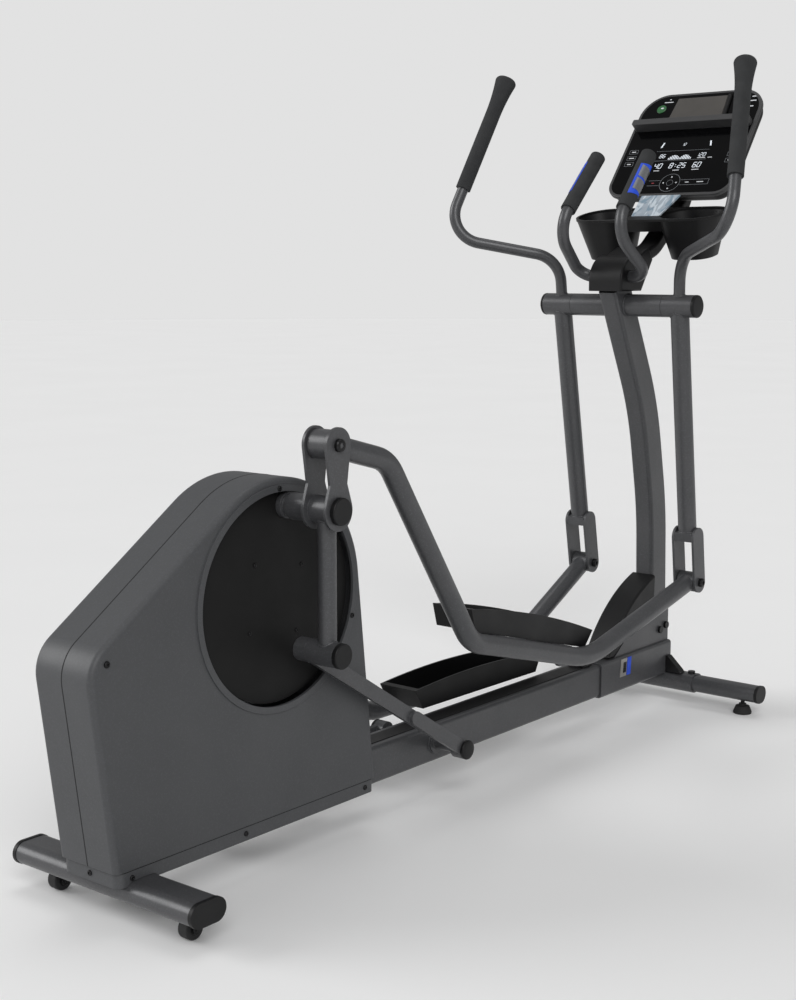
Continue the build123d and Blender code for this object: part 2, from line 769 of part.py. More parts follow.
    handle_route = [
        handle_point(side, lever_x, -20, 0),
        handle_point(side, lever_x + 2, -112, 7),
        handle_point(side, 385, -195, -160),
        handle_point(side, 317, -533, 57),
    ]
    with BuildPart() as handle:
        tube(handle_route, [75, 70], handle_tube)
        tube(handle_route, [75, 70], handle_tube - 2 * tube_wall, mode=Mode.SUBTRACT)
        rod(side * 126, side * 205, hub, hub_tube / 2, Mode.SUBTRACT)
    save(handle, f"handle_{name}")

    grip_end = Vector(*handle_route[3])
    grip_way = (grip_end - Vector(*handle_route[2])).normalized()
    grip_length = 281.0
    grip_plane = Plane(origin=grip_end - grip_way * grip_length, z_dir=grip_way)
    with BuildPart() as grip:
        with BuildSketch(Plane(grip_plane.origin, x_dir=grip_plane.x_dir, z_dir=-grip_plane.y_dir)):
            with BuildLine():
                Polyline((handle_tube / 2, 0), (grip_tube / 2, 0), (grip_tube / 2, 190))
                ThreePointArc((grip_tube / 2, 190), (20.2, 240), (26, 284))
                ThreePointArc((26, 284), (23, 292), (15, 296))
                Polyline((15, 296), (0, 296), (0, grip_length), (handle_tube / 2, grip_length))
                Line((handle_tube / 2, grip_length), (handle_tube / 2, 0))
            make_face()
        revolve(axis=Axis(grip_plane.origin, grip_way))
    save(grip, f"grip_{name}")

# ==== fixed handlebar ====

bar_route = [(0, crank_y + 1236, 1080), (94, crank_y + 1238, 1080), (78, crank_y + 1108, 1190), (70, crank_y + 1264, 1359)]
bar_bends = [38, 62]
with BuildPart() as fixed_handlebar:
    tube(bar_route, bar_bends, bar_tube)
    mirror(about=Plane.YZ)
save(fixed_handlebar, "fixed_handlebar")

neck_cover.part -= fixed_handlebar.part
neck_cover.part -= console_arm.part
save(neck_cover, "neck_cover")

fixed_grip_length = 168.0
fixed_grip_end = Vector(*bar_route[3])
fixed_grip_way = (fixed_grip_end - Vector(*bar_route[2])).normalized()
fixed_grip_start = fixed_grip_end - fixed_grip_way * fixed_grip_length
with BuildPart() as fixed_grips:
    with BuildSketch(Plane(origin=fixed_grip_start, z_dir=fixed_grip_way)):
        Circle(grip_tube / 2)
        Circle(bar_tube / 2, mode=Mode.SUBTRACT)
    extrude(amount=fixed_grip_length)
    with BuildSketch(Plane(origin=fixed_grip_end, z_dir=fixed_grip_way)):
        Circle(grip_tube / 2)
    extrude(amount=8)
    fillet(fixed_grips.edges().filter_by(GeomType.CIRCLE).sort_by(SortBy.DISTANCE)[-1], 4)
    mirror(about=Plane.YZ)
save(fixed_grips, "fixed_grips")

contact_length = 34.0
outward = Vector(cos(radians(18)), -sin(radians(18)), 0)
outward = (outward - fixed_grip_way * outward.dot(fixed_grip_way)).normalized()
with BuildPart() as pulse_contacts:
    for start in (50, 50 + contact_length + 6):
        contact_origin = fixed_grip_start + fixed_grip_way * start
        with BuildSketch(Plane(origin=contact_origin, x_dir=outward, z_dir=fixed_grip_way)):
            Circle(grip_tube / 2 + 1.2)
            Circle(grip_tube / 2, mode=Mode.SUBTRACT)
            with Locations((grip_tube / 2, 0)):
                Rectangle(20, 27, mode=Mode.INTERSECT)
        extrude(amount=contact_length)
    mirror(about=Plane.YZ)
save(pulse_contacts, "pulse_contacts")

# ==== console ====

console_plane = Plane(
    origin=(0, *console_centre),
    x_dir=(1, 0, 0),
    z_dir=(0, -sin(radians(console_tilt)), cos(radians(console_tilt))),
)


def console_outline(inset):
    """The console's face: large round shoulders at the top, smaller corners at the bottom."""
    with BuildSketch(Plane.XY, mode=Mode.PRIVATE) as outline:
        half = console_half - inset
        top = console_length / 2 - inset
        with BuildLine():
            FilletPolyline(
                (-half, -top),
                (half, -top),
                (half - 3, top),
                (-half + 3, top),
                close=True,
                radius=[46 - inset, 46 - inset, 72 - inset, 72 - inset],
            )
        make_face()
    return outline.sketch


def console_slab(inset, low, high, mode=Mode.ADD):
    placed = console_plane.offset(low) * console_outline(inset)
    extrude(placed, amount=high - low, dir=tuple(console_plane.z_dir), mode=mode)


ledge_place = 54.0  # up the panel from its centre
with BuildPart() as console_back:
    console_slab(7, -console_depth, -bezel_thick - 0.2)
    fillet(console_back.faces().sort_by(Axis((0, 0, 0), tuple(console_plane.z_dir)))[0].edges(), 14)
    console_slab(14, -console_depth + 5, -bezel_thick + 1, Mode.SUBTRACT)
console_back.part -= console_arm.part
save(console_back, "console_back")

with BuildPart() as console_bezel:
    console_slab(0, -bezel_thick, 0)
    fillet(console_bezel.faces().sort_by(Axis((0, 0, 0), tuple(console_plane.z_dir)))[-1].edges(), 3)
    console_slab(8, -2.5, 1, Mode.SUBTRACT)
save(console_bezel, "console_bezel")

with BuildPart() as display_panel:
    console_slab(8.2, -2.4, -0.6)
save(display_panel, "display_panel")

with BuildPart() as tablet_ledge:
    with BuildSketch(console_plane.offset(-0.4)):
        with Locations((0, ledge_place)):
            RectangleRounded(2 * console_half - 24, 17, 4)
    extrude(amount=28)
    with BuildSketch(console_plane.offset(5)):
        with Locations((0, ledge_place + 7)):
            RectangleRounded(2 * console_half - 40, 17, 2)
    extrude(amount=18, mode=Mode.SUBTRACT)
save(tablet_ledge, "tablet_ledge")
save(console_arm, "console_arm")

# ==== accessory tray ====

tray_tilt = 14.0
tray_plane = Plane(
    origin=(0, crank_y + 1402, 1226),
    x_dir=(1, 0, 0),
    z_dir=(0, -sin(radians(tray_tilt)), cos(radians(tray_tilt))),
)
bin_x = 116.0
bin_depth = 98.0
with BuildPart() as accessory_tray:
    for inset, top in ((0, 0), (4, 4)):
        for side in (-1, 1):
            with BuildSketch(tray_plane):
                with Locations((side * bin_x, 0)):
                    RectangleRounded(166 - 2 * inset, 132 - 2 * inset, 60 - inset)
            with BuildSketch(tray_plane.offset(-bin_depth + top)):
                with Locations((side * (bin_x - 2), -6)):
                    RectangleRounded(112 - 2 * inset, 88 - 2 * inset, 40 - inset)
            loft(mode=Mode.SUBTRACT if inset else Mode.ADD)
        if not inset:
            with BuildSketch(tray_plane):
                RectangleRounded(120, 112, 8)
            with BuildSketch(tray_plane.offset(-30)):
                RectangleRounded(120, 80, 8)
            loft()
    with BuildSketch(tray_plane):
        RectangleRounded(2 * bin_x + 172, 138, 66)
        for side in (-1, 1):
            with Locations((side * bin_x, 0)):
                RectangleRounded(158, 124, 56, mode=Mode.SUBTRACT)
    extrude(amount=6)
save(accessory_tray, "accessory_tray")

panel_tilt = 35.0
panel_plane = Plane(
    origin=(0, crank_y + 1400, 1238.5),
    x_dir=(1, 0, 0),
    z_dir=(0, -sin(radians(panel_tilt)), cos(radians(panel_tilt))),
)
with BuildPart() as tray_panel:
    with BuildSketch(panel_plane):
        with BuildLine():
            Polyline((-34, -56), (34, -56), (54, 62), (-54, 62), close=True)
        make_face()
    extrude(amount=4)
save(tray_panel, "tray_panel")
accessory_tray.part -= tray_panel.part
save(accessory_tray, "accessory_tray")
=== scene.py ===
import json
import math

import bmesh
import bpy
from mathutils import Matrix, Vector


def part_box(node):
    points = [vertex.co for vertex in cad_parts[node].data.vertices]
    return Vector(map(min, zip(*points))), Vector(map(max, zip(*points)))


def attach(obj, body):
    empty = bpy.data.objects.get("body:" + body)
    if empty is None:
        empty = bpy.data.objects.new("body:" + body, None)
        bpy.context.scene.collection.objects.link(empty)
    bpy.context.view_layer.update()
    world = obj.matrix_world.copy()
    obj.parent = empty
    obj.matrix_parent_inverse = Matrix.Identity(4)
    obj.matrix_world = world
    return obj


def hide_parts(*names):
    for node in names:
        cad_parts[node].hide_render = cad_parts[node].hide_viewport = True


# Looks for a rear-drive elliptical trainer. Metres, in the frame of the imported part: +Z up, +Y the way the user
# faces, +X the user's right. Sizes written in millimetres are turned to metres by MM.

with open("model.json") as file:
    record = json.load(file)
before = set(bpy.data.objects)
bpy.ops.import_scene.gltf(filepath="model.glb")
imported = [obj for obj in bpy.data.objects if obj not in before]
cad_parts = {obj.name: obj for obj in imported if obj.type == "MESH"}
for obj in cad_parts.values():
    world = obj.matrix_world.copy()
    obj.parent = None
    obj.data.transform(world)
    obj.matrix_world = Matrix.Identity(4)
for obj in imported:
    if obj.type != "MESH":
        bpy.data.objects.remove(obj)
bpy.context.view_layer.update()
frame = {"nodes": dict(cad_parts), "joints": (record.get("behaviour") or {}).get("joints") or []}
nodes = frame["nodes"]
joints = {joint["name"]: joint for joint in frame["joints"]}
MM = 0.001
ACROSS = Vector((1, 0, 0))
FORWARD = Vector((0, 1, 0))
UP = Vector((0, 0, 1))
SIDES = (("right", 1), ("left", -1))
LEVER_X = joints["pedal_lever_swing_right"]["pos_m"][0] / MM  # the middle of a pedal lever
PLATE_REACH = 29.5  # from there to the outside of the plates that flank it
SLEEVE_REACH = 22.5  # and to the middle of its washers
ARM_FACE_X = 118.0  # the outside of a control arm at its rail stud
HUB_END_X = 205.0  # the outer end of a swing arm's hub
PALM_ANGLE = 18.0  # degrees that the pulse contacts face rearward of straight out
CONSOLE_FACING = Vector((0, -0.8, 0.6))


# ==== materials ====


def linear(hex_colour):
    """An sRGB hex colour as linear red, green, blue and alpha."""
    channels = [int(hex_colour[place : place + 2], 16) / 255 for place in (1, 3, 5)]
    return [c / 12.92 if c <= 0.04045 else ((c + 0.055) / 1.055) ** 2.4 for c in channels] + [1]


def add(tree, kind, settings=None, links=None):
    """One node, with its settings as input values or attributes, and its links from other sockets."""
    node = tree.nodes.new(kind)
    for name, value in (settings or {}).items():
        if isinstance(name, str) and hasattr(node, name):
            setattr(node, name, value)
        else:
            node.inputs[name].default_value = value
    for name, socket in (links or {}).items():
        tree.links.new(socket, node.inputs[name])
    return node


def per_metre(size):
    """The scale of a pattern whose features are size millimetres across."""
    return 1 / (size * MM)


def surface(
    name,
    base,
    shade,
    patch,
    grain,
    grain_deep,
    rough,
    rough_spread,
    metallic=0.0,
    coat=0.0,
    worn=None,
    specular=0.5,
):
    """Soft patches of a second shade, a fine grain in relief, uneven gloss and paler worn edges, in mm."""
    made = bpy.data.materials.new(name)
    made.use_nodes = True
    tree = made.node_tree
    tree.nodes.clear()
    where = add(tree, "ShaderNodeTexCoord").outputs["Object"]
    patches = add(
        tree,
        "ShaderNodeTexNoise",
        {"Scale": per_metre(patch), "Detail": 3.0, "Roughness": 0.55},
        {"Vector": where},
    )
    fine = add(
        tree,
        "ShaderNodeTexNoise",
        {"Scale": per_metre(grain), "Detail": 2.0, "Roughness": 0.6},
        {"Vector": where},
    )
    spread = add(
        tree, "ShaderNodeMapRange", {"From Min": 0.3, "From Max": 0.7}, {"Value": patches.outputs["Fac"]}
    )
    colour = add(
        tree,
        "ShaderNodeMix",
        {"data_type": "RGBA", 6: linear(base), 7: linear(shade)},
        {0: spread.outputs["Result"]},
    ).outputs[2]
    relief = {"Height": fine.outputs["Fac"]}
    if worn:
        rounded = add(tree, "ShaderNodeBevel", {"samples": 4, "Radius": 1.2 * MM})
        flat = add(tree, "ShaderNodeNewGeometry")
        facing = add(
            tree,
            "ShaderNodeVectorMath",
            {"operation": "DOT_PRODUCT"},
            {0: rounded.outputs["Normal"], 1: flat.outputs["Normal"]},
        )
        edge = add(
            tree,
            "ShaderNodeMapRange",
            {"From Min": 0.985, "From Max": 0.9, "To Min": 0.0, "To Max": 0.55},
            {"Value": facing.outputs["Value"]},
        )
        rubbed = add(
            tree,
            "ShaderNodeMath",
            {"operation": "MULTIPLY"},
            {0: edge.outputs["Result"], 1: patches.outputs["Fac"]},
        )
        colour = add(
            tree,
            "ShaderNodeMix",
            {"data_type": "RGBA", 7: linear(worn)},
            {0: rubbed.outputs[0], 6: colour},
        ).outputs[2]
        relief["Normal"] = rounded.outputs["Normal"]
    gloss = add(
        tree,
        "ShaderNodeMapRange",
        {"From Min": 0.25, "From Max": 0.75, "To Min": rough - rough_spread, "To Max": rough + rough_spread},
        {"Value": patches.outputs["Fac"]},
    )
    bump = add(tree, "ShaderNodeBump", {"Strength": 1.0, "Distance": grain_deep * MM}, relief)
    shader = add(
        tree,
        "ShaderNodeBsdfPrincipled",
        {
            "Metallic": metallic,
            "Coat Weight": coat,
            "Coat Roughness": 0.2,
            "Specular IOR Level": specular,
        },
        {"Base Color": colour, "Roughness": gloss.outputs["Result"], "Normal": bump.outputs["Normal"]},
    )
    add(tree, "ShaderNodeOutputMaterial", links={"Surface": shader.outputs["BSDF"]})
    return made


def found(material, kind):
    """The last node of a kind in a material."""
    return [node for node in material.node_tree.nodes if node.bl_idname == kind][-1]


def flecked(material, size, hex_colour, share):
    """Bright specks, each about size millimetres, over a share of the surface."""
    tree = material.node_tree
    where = found(material, "ShaderNodeTexCoord").outputs["Object"]
    shader = found(material, "ShaderNodeBsdfPrincipled")
    under = shader.inputs["Base Color"].links[0].from_socket
    cells = add(tree, "ShaderNodeTexVoronoi", {"Scale": per_metre(size)}, {"Vector": where})
    tone = add(tree, "ShaderNodeSeparateColor", links={"Color": cells.outputs["Color"]})
    chosen = add(
        tree,
        "ShaderNodeMapRange",
        {"From Min": 1 - share, "From Max": 1.0, "To Max": 0.6},
        {"Value": tone.outputs["Red"]},
    )
    speckled = add(
        tree,
        "ShaderNodeMix",
        {"data_type": "RGBA", 7: linear(hex_colour)},
        {0: chosen.outputs["Result"], 6: under},
    )
    tree.links.new(speckled.outputs[2], shader.inputs["Base Color"])
    return material


def celled(material, size, deep):
    """Small round cells sunk into the surface, each about size millimetres across."""
    tree = material.node_tree
    where = found(material, "ShaderNodeTexCoord").outputs["Object"]
    shader = found(material, "ShaderNodeBsdfPrincipled")
    under = shader.inputs["Normal"].links[0].from_socket
    cells = add(
        tree, "ShaderNodeTexVoronoi", {"feature": "SMOOTH_F1", "Scale": per_metre(size)}, {"Vector": where}
    )
    sunk = add(
        tree,
        "ShaderNodeBump",
        {"Strength": 0.8, "Distance": deep * MM},
        {"Height": cells.outputs["Distance"], "Normal": under},
    )
    tree.links.new(sunk.outputs["Normal"], shader.inputs["Normal"])
    return material


def brushed(material, spacing, deep):
    """Fine lines round an axis across the machine, spacing millimetres apart, as a lathe leaves."""
    tree = material.node_tree
    where = found(material, "ShaderNodeTexCoord").outputs["Object"]
    shader = found(material, "ShaderNodeBsdfPrincipled")
    under = shader.inputs["Normal"].links[0].from_socket
    stretched = add(
        tree, "ShaderNodeMapping", {"Scale": (per_metre(spacing), 12.0, 12.0)}, {"Vector": where}
    )
    lines = add(
        tree, "ShaderNodeTexNoise", {"Scale": 1.0, "Detail": 1.0}, {"Vector": stretched.outputs["Vector"]}
    )
    scored = add(
        tree,
        "ShaderNodeBump",
        {"Strength": 0.6, "Distance": deep * MM},
        {"Height": lines.outputs["Fac"], "Normal": under},
    )
    tree.links.new(scored.outputs["Normal"], shader.inputs["Normal"])
    return material


def powder_coat():
    """Charcoal powder coat: a faint orange peel and tiny flecks break up the tubes' long highlights."""
    coat = surface("powder_coat", "#48484a", "#434446", 90, 2.2, 0.02, 0.38, 0.04, 0.2, 0.1, "#6f7073")
    return flecked(coat, 1.8, "#57585b", 0.3)


def moulded_abs():
    """Charcoal ABS with a spark-eroded grain: large calm panels, a soft sheen, edges a little rubbed."""
    shell = surface("moulded_abs", "#48494b", "#454648", 160, 1.4, 0.03, 0.48, 0.04, 0.0, 0.0, "#66686c", 0.4)
    return flecked(shell, 2.2, "#4f5053", 0.4)


def black_polypropylene():
    """Black polypropylene: near black, slightly waxy, with a leathery moulded grain."""
    return surface(
        "black_polypropylene", "#121213", "#0f0f10", 70, 1.5, 0.05, 0.45, 0.05, 0.0, 0.0, "#2a2a2c", 0.3
    )


def crank_disc_abs():
    """Matt black ABS with a faint grain: the wide disc reads as one dark plane."""
    return surface("crank_disc_abs", "#121212", "#101010", 120, 2.0, 0.04, 0.6, 0.05, specular=0.25)


def closed_cell_foam():
    """Closed-cell grip foam: dark grey, no shine, its skin dimpled by small cells drawn 2 mm wide to show."""
    foam = surface("closed_cell_foam", "#333435", "#2e2f30", 30, 1.2, 0.06, 0.85, 0.05, specular=0.3)
    return celled(foam, 2.0, 0.15)


def black_rubber():
    """Moulded black rubber: flat and dusty, paler where it is handled."""
    return surface("black_rubber", "#161616", "#1f1f1f", 18, 1.0, 0.06, 0.8, 0.06)


def wheel_polyurethane():
    """Cast polyurethane tyre: black with a dull roll-worn tread."""
    return surface("wheel_polyurethane", "#151516", "#202021", 9, 0.9, 0.05, 0.62, 0.08)


def zinc_plated_steel():
    """Zinc-plated turned steel: pale grey metal, finely scored round its axis."""
    plate = surface("zinc_plated_steel", "#a3a5a8", "#8d9093", 25, 0.8, 0.02, 0.32, 0.06, 1.0)
    return brushed(plate, 1.2, 0.03)


def black_oxide_steel():
    """Black-oxide bolt steel: oily black metal with grey corners."""
    return surface("black_oxide_steel", "#232324", "#1a1a1b", 12, 0.8, 0.03, 0.38, 0.06, 0.6, 0.0, "#5b5b5d")


def grey_cast_iron():
    """Grey cast iron: rough, mottled and dark."""
    return surface("grey_cast_iron", "#4c4b49", "#3a3938", 14, 1.6, 0.25, 0.68, 0.08, 0.7)


def brushed_stainless():
    """Brushed stainless of the pulse contacts: a soft bright grey with fine lines."""
    plate = surface("brushed_stainless", "#a9abae", "#9a9ca0", 12, 0.6, 0.02, 0.36, 0.05, 1.0)
    return brushed(plate, 0.8, 0.02)


def gloss_acrylic():
    """Hard-coated black acrylic: a deep gloss face with the faintest haze of wiping."""
    return surface("gloss_acrylic", "#040405", "#060607", 60, 18, 0.005, 0.14, 0.03, 0.0, 0.0, None, 0.14)


def blue_elastomer():
    """Blue thermoplastic elastomer round the contacts: saturated, satin, finely grained."""
    return surface("blue_elastomer", "#1f4fd6", "#1a45c2", 14, 0.9, 0.04, 0.45, 0.05)


def satin_badge():
    """Satin silver badge foil: pale metal with a brushed tooth."""
    plate = surface("satin_badge", "#b9b7b3", "#a5a39f", 12, 0.8, 0.02, 0.35, 0.05, 0.8)
    return brushed(plate, 1.0, 0.02)


def black_badge():
    """Gloss black infill of the badge."""
    return surface("black_badge", "#0d0d0e", "#101011", 10, 1.2, 0.02, 0.25, 0.04)


def screen_ink():
    """White screen-printed ink on the panel: flat, slightly uneven where it was squeezed on."""
    return surface("screen_ink", "#d7d9dc", "#c4c7cb", 6, 0.8, 0.02, 0.6, 0.05)


def dim_ink():
    """Grey screen-printed ink for the panel's fine outlines."""
    return surface("dim_ink", "#74777b", "#686b6f", 6, 0.8, 0.02, 0.6, 0.05)


def lit_segment():
    """Lit display segments: cool white with a little light of their own."""
    lit = surface("lit_segment", "#e6ebf0", "#d4dbe2", 5, 1.5, 0.01, 0.4, 0.03)
    shader = found(lit, "ShaderNodeBsdfPrincipled")
    shader.inputs["Emission Color"].default_value = linear("#dfe8f2")
    shader.inputs["Emission Strength"].default_value = 0.25
    return lit


def green_key():
    """The start key's translucent green silicone."""
    return surface("green_key", "#2f6a3b", "#21502c", 5, 0.9, 0.03, 0.4, 0.05)


def red_ink():
    """Red screen-printed ink."""
    return surface("red_ink", "#8e2a33", "#7d242c", 6, 0.8, 0.02, 0.6, 0.05)


def grey_abs():
    """Mid-grey ABS of the ledge and the console's rim: warm grey with a fine satin grain."""
    return surface("grey_abs", "#3b3b3c", "#353536", 40, 1.0, 0.05, 0.45, 0.05, 0.0, 0.0, "#5a5a5c")


def smoked_panel():
    """Smoked polycarbonate behind the rack: warm dark grey."""
    return surface("smoked_panel", "#4d4a47", "#403e3b", 80, 1.2, 0.03, 0.35, 0.05)


def printed_polyester():
    """A printed polyester label: pale blue-grey with loose white and teal strokes under a satin film."""
    label = surface("printed_polyester", "#aab4be", "#97a3ae", 30, 1.2, 0.02, 0.32, 0.04)
    tree = label.node_tree
    where = found(label, "ShaderNodeTexCoord").outputs["Object"]
    shader = found(label, "ShaderNodeBsdfPrincipled")
    under = shader.inputs["Base Color"].links[0].from_socket
    slanted = add(
        tree,
        "ShaderNodeMapping",
        {"Scale": (per_metre(26), per_metre(60), per_metre(60)), "Rotation": (0.0, 0.0, 0.7)},
        {"Vector": where},
    )
    strokes = add(
        tree,
        "ShaderNodeTexNoise",
        {"Scale": 1.0, "Detail": 1.5, "Distortion": 1.6},
        {"Vector": slanted.outputs["Vector"]},
    )
    teal = add(
        tree, "ShaderNodeMapRange", {"From Min": 0.54, "From Max": 0.58}, {"Value": strokes.outputs["Fac"]}
    )
    white = add(
        tree, "ShaderNodeMapRange", {"From Min": 0.46, "From Max": 0.43}, {"Value": strokes.outputs["Fac"]}
    )
    washed = add(
        tree,
        "ShaderNodeMix",
        {"data_type": "RGBA", 7: linear("#7d93a3")},
        {0: teal.outputs["Result"], 6: under},
    )
    drawn = add(
        tree,
        "ShaderNodeMix",
        {"data_type": "RGBA", 7: linear("#c6d0d8")},
        {0: white.outputs["Result"], 6: washed.outputs[2]},
    )
    tree.links.new(drawn.outputs[2], shader.inputs["Base Color"])
    return label


def seam_shadow():
    """The dark line where two mouldings meet."""
    return surface("seam_shadow", "#161617", "#121213", 20, 1.0, 0.02, 0.85, 0.03)


def pale_floor():
    """A pale matt studio floor with the slightest unevenness."""
    return surface("pale_floor", "#f4f4f4", "#f2f2f2", 900, 40, 0.02, 0.75, 0.04, specular=0.2)


COAT = powder_coat()
SHELL = moulded_abs()
BLACK = black_polypropylene()
FOAM = closed_cell_foam()
RUBBER = black_rubber()
OXIDE = black_oxide_steel()
ZINC = zinc_plated_steel()
BLUE = blue_elastomer()
INK = screen_ink()
DIM_INK = dim_ink()
LIT = lit_segment()
GREY = grey_abs()
SEAM = seam_shadow()
SILVER = satin_badge()
BADGE_BLACK = black_badge()

slot_finishes = {
    "frame_paint": COAT,
    "shroud_plastic": SHELL,
    "black_plastic": BLACK,
    "grip_foam": FOAM,
    "rubber": RUBBER,
    "wheel_rubber": wheel_polyurethane(),
    "steel": ZINC,
    "black_steel": OXIDE,
    "cast_iron": grey_cast_iron(),
    "contact_steel": brushed_stainless(),
    "display_glass": gloss_acrylic(),
    "panel_print": printed_polyester(),
}
node_finishes = {
    "crank_discs": crank_disc_abs(),
    "crank_arms": COAT,
    "rail_studs": COAT,
    "tablet_ledge": GREY,
    "console_bezel": GREY,
}


def finish_cad_nodes():
    """Gives each CAD node the finish of its slot, or its own where the same slot looks different there."""
    for name, node in nodes.items():
        for place, old in enumerate(list(node.data.materials)):
            slot_name = old.name.split(".")[0]
            node.data.materials[place] = node_finishes.get(name, slot_finishes[slot_name])


# ==== building ====


def new_piece(name, shape, material, body, sharp=32):
    """Turns a bmesh into a piece that rides on a body, with its edges sharp beyond an angle in degrees."""
    bmesh.ops.recalc_face_normals(shape, faces=shape.faces[:])
    mesh = bpy.data.meshes.new(name)
    shape.to_mesh(mesh)
    shape.free()
    for face in mesh.polygons:
        face.use_smooth = True
    mesh.set_sharp_from_angle(angle=math.radians(sharp))
    mesh.materials.append(material)
    piece = bpy.data.objects.new(name, mesh)
    bpy.context.scene.collection.objects.link(piece)
    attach(piece, body)
    return piece


def turned(shape, centre, axis, profile, steps=40):
    """Turns a profile of (along the axis, radius) in mm into a form. A third value makes a hexagon."""
    side = axis.orthogonal().normalized()
    other = axis.cross(side)
    rings = []
    for along, radius, *hexagon in profile:
        middle = centre + axis * along * MM
        if radius == 0:
            rings.append([shape.verts.new(middle)])
            continue
        ring = []
        for step in range(steps):
            angle = math.tau * step / steps
            reach = radius * MM
            if hexagon:
                reach *= math.cos(math.pi / 6) / math.cos(angle % (math.pi / 3) - math.pi / 6)
            ring.append(shape.verts.new(middle + (side * math.cos(angle) + other * math.sin(angle)) * reach))
        rings.append(ring)
    for low, high in zip(rings, rings[1:]):
        for step in range(steps):
            after = (step + 1) % steps
            if len(low) == 1 and len(high) == 1:
                continue
            if len(low) == 1:
                shape.faces.new((low[0], high[step], high[after]))
            elif len(high) == 1:
                shape.faces.new((low[step], high[0], low[after]))
            else:
                shape.faces.new((low[step], high[step], high[after], low[after]))


def slab(shape, place, outline, low, high, rounding=0.0):
    """A flat piece with an outline of (u, v) millimetres on a face, from low to high above it."""
    bottom = [shape.verts.new(place(u, v, low)) for u, v in outline]
    top = [shape.verts.new(place(u, v, high)) for u, v in outline]
    count = len(outline)
    faces = [shape.faces.new(bottom[::-1]), shape.faces.new(top)]
    for step in range(count):
        after = (step + 1) % count
        faces.append(shape.faces.new((bottom[step], bottom[after], top[after], top[step])))
    if rounding:
        rims = [edge for edge in faces[1].edges]
        bmesh.ops.bevel(shape, geom=rims, offset=rounding * MM, segments=2, affect="EDGES")


def rounded_box(u, v, width, height, corner, steps=5):
    """The outline of a rectangle about (u, v) with round corners."""
    corner = min(corner, width / 2 - 0.01, height / 2 - 0.01)
    outline = []
    for turn, (sign_u, sign_v) in enumerate(((1, 1), (-1, 1), (-1, -1), (1, -1))):
        for step in range(steps + 1):
            angle = math.pi / 2 * (turn + step / steps)
            outline.append(
                (
                    u + sign_u * (width / 2 - corner) + corner * math.cos(angle),
                    v + sign_v * (height / 2 - corner) + corner * math.sin(angle),
                )
            )
    return outline


def ring_outline(shape, place, u, v, outer, inner, low, high, steps=40):
    """A flat ring on a face."""
    rings = []
    for radius, height in ((inner, low), (inner, high), (outer, high), (outer, low)):
        rings.append(
            [
                shape.verts.new(
                    place(
                        u + radius * math.cos(math.tau * step / steps),
                        v + radius * math.sin(math.tau * step / steps),
                        height,
                    )
                )
                for step in range(steps)
            ]
        )
    for first, second in zip(rings, rings[1:] + rings[:1]):
        for step in range(steps):
            after = (step + 1) % steps
            shape.faces.new((first[step], first[after], second[after], second[step]))


def on_face(origin, right, up):
    """Turns millimetres right, up and out of a face into a point in metres."""
    out = right.cross(up)
    return lambda u, v, w=0.0: origin + (right * u + up * v + out * w) * MM


def flat_face(node, toward, right):
    """A CAD node's largest flat face toward a direction: its place function and half sizes in mm."""
    mesh = nodes[node].data
    facing = [face for face in mesh.polygons if face.normal.dot(toward) > 0.7]
    widest = max(facing, key=lambda face: face.area)
    out = widest.normal.copy()
    right = (right - out * right.dot(out)).normalized()
    up = out.cross(right)
    same = [
        face
        for face in facing
        if face.normal.dot(out) > 0.9999 and abs((face.center - widest.center).dot(out)) < 0.1 * MM
    ]
    corners = [mesh.vertices[index].co for face in same for index in face.vertices]
    reach_right = [corner.dot(right) for corner in corners]
    reach_up = [corner.dot(up) for corner in corners]
    origin = (
        right * (min(reach_right) + max(reach_right)) / 2
        + up * (min(reach_up) + max(reach_up)) / 2
        + out * widest.center.dot(out)
    )
    half = ((max(reach_right) - min(reach_right)) / 2 / MM, (max(reach_up) - min(reach_up)) / 2 / MM)
    return on_face(origin, right, up), half


def bead(shape, path, radius, ripple=4.0, steps=8):
    """A weld bead along a closed path, its ripples ripple millimetres apart."""
    middle = sum(path, Vector()) / len(path)
    lengths = [0.0]
    for first, second in zip(path, path[1:]):
        lengths.append(lengths[-1] + (second - first).length)
    rings = []
    for index, point in enumerate(path):
        along = (path[(index + 1) % len(path)] - path[index - 1]).normalized()
        outward = point - middle
        outward = (outward - along * outward.dot(along)).normalized()
        across = along.cross(outward)
        wave = 1 + 0.16 * math.sin(math.tau * lengths[index] / (ripple * MM))
        rings.append(
            [
                shape.verts.new(
                    point
                    + (
                        outward * math.cos(math.tau * step / steps)
                        + across * math.sin(math.tau * step / steps)
                    )
                    * radius
                    * wave
                    * MM
                )
                for step in range(steps)
            ]
        )
    for index, ring in enumerate(rings):
        following = rings[(index + 1) % len(rings)]
        for step in range(steps):
            after = (step + 1) % steps
            shape.faces.new((ring[step], ring[after], following[after], following[step]))


def circle_path(centre, axis, radius, steps=120):
    """Points round a circle of radius millimetres."""
    side = axis.orthogonal().normalized()
    other = axis.cross(side)
    turns = [math.tau * step / steps for step in range(steps)]
    return [centre + (side * math.cos(turn) + other * math.sin(turn)) * radius * MM for turn in turns]


def saddle_path(centre, sleeve_axis, tube_axis, sleeve_radius, tube_radius, steps=120):
    """Where a tube that leaves along tube_axis meets the outside of a sleeve that lies along sleeve_axis."""
    side = sleeve_axis.cross(tube_axis).normalized()
    path = []
    for step in range(steps):
        turn = math.tau * step / steps
        off = tube_radius * math.sin(turn)
        reach = math.sqrt(max(sleeve_radius**2 - off**2, 1.0))
        along = sleeve_axis * tube_radius * math.cos(turn)
        path.append(centre + (along + side * off + tube_axis * reach) * MM)
    return path


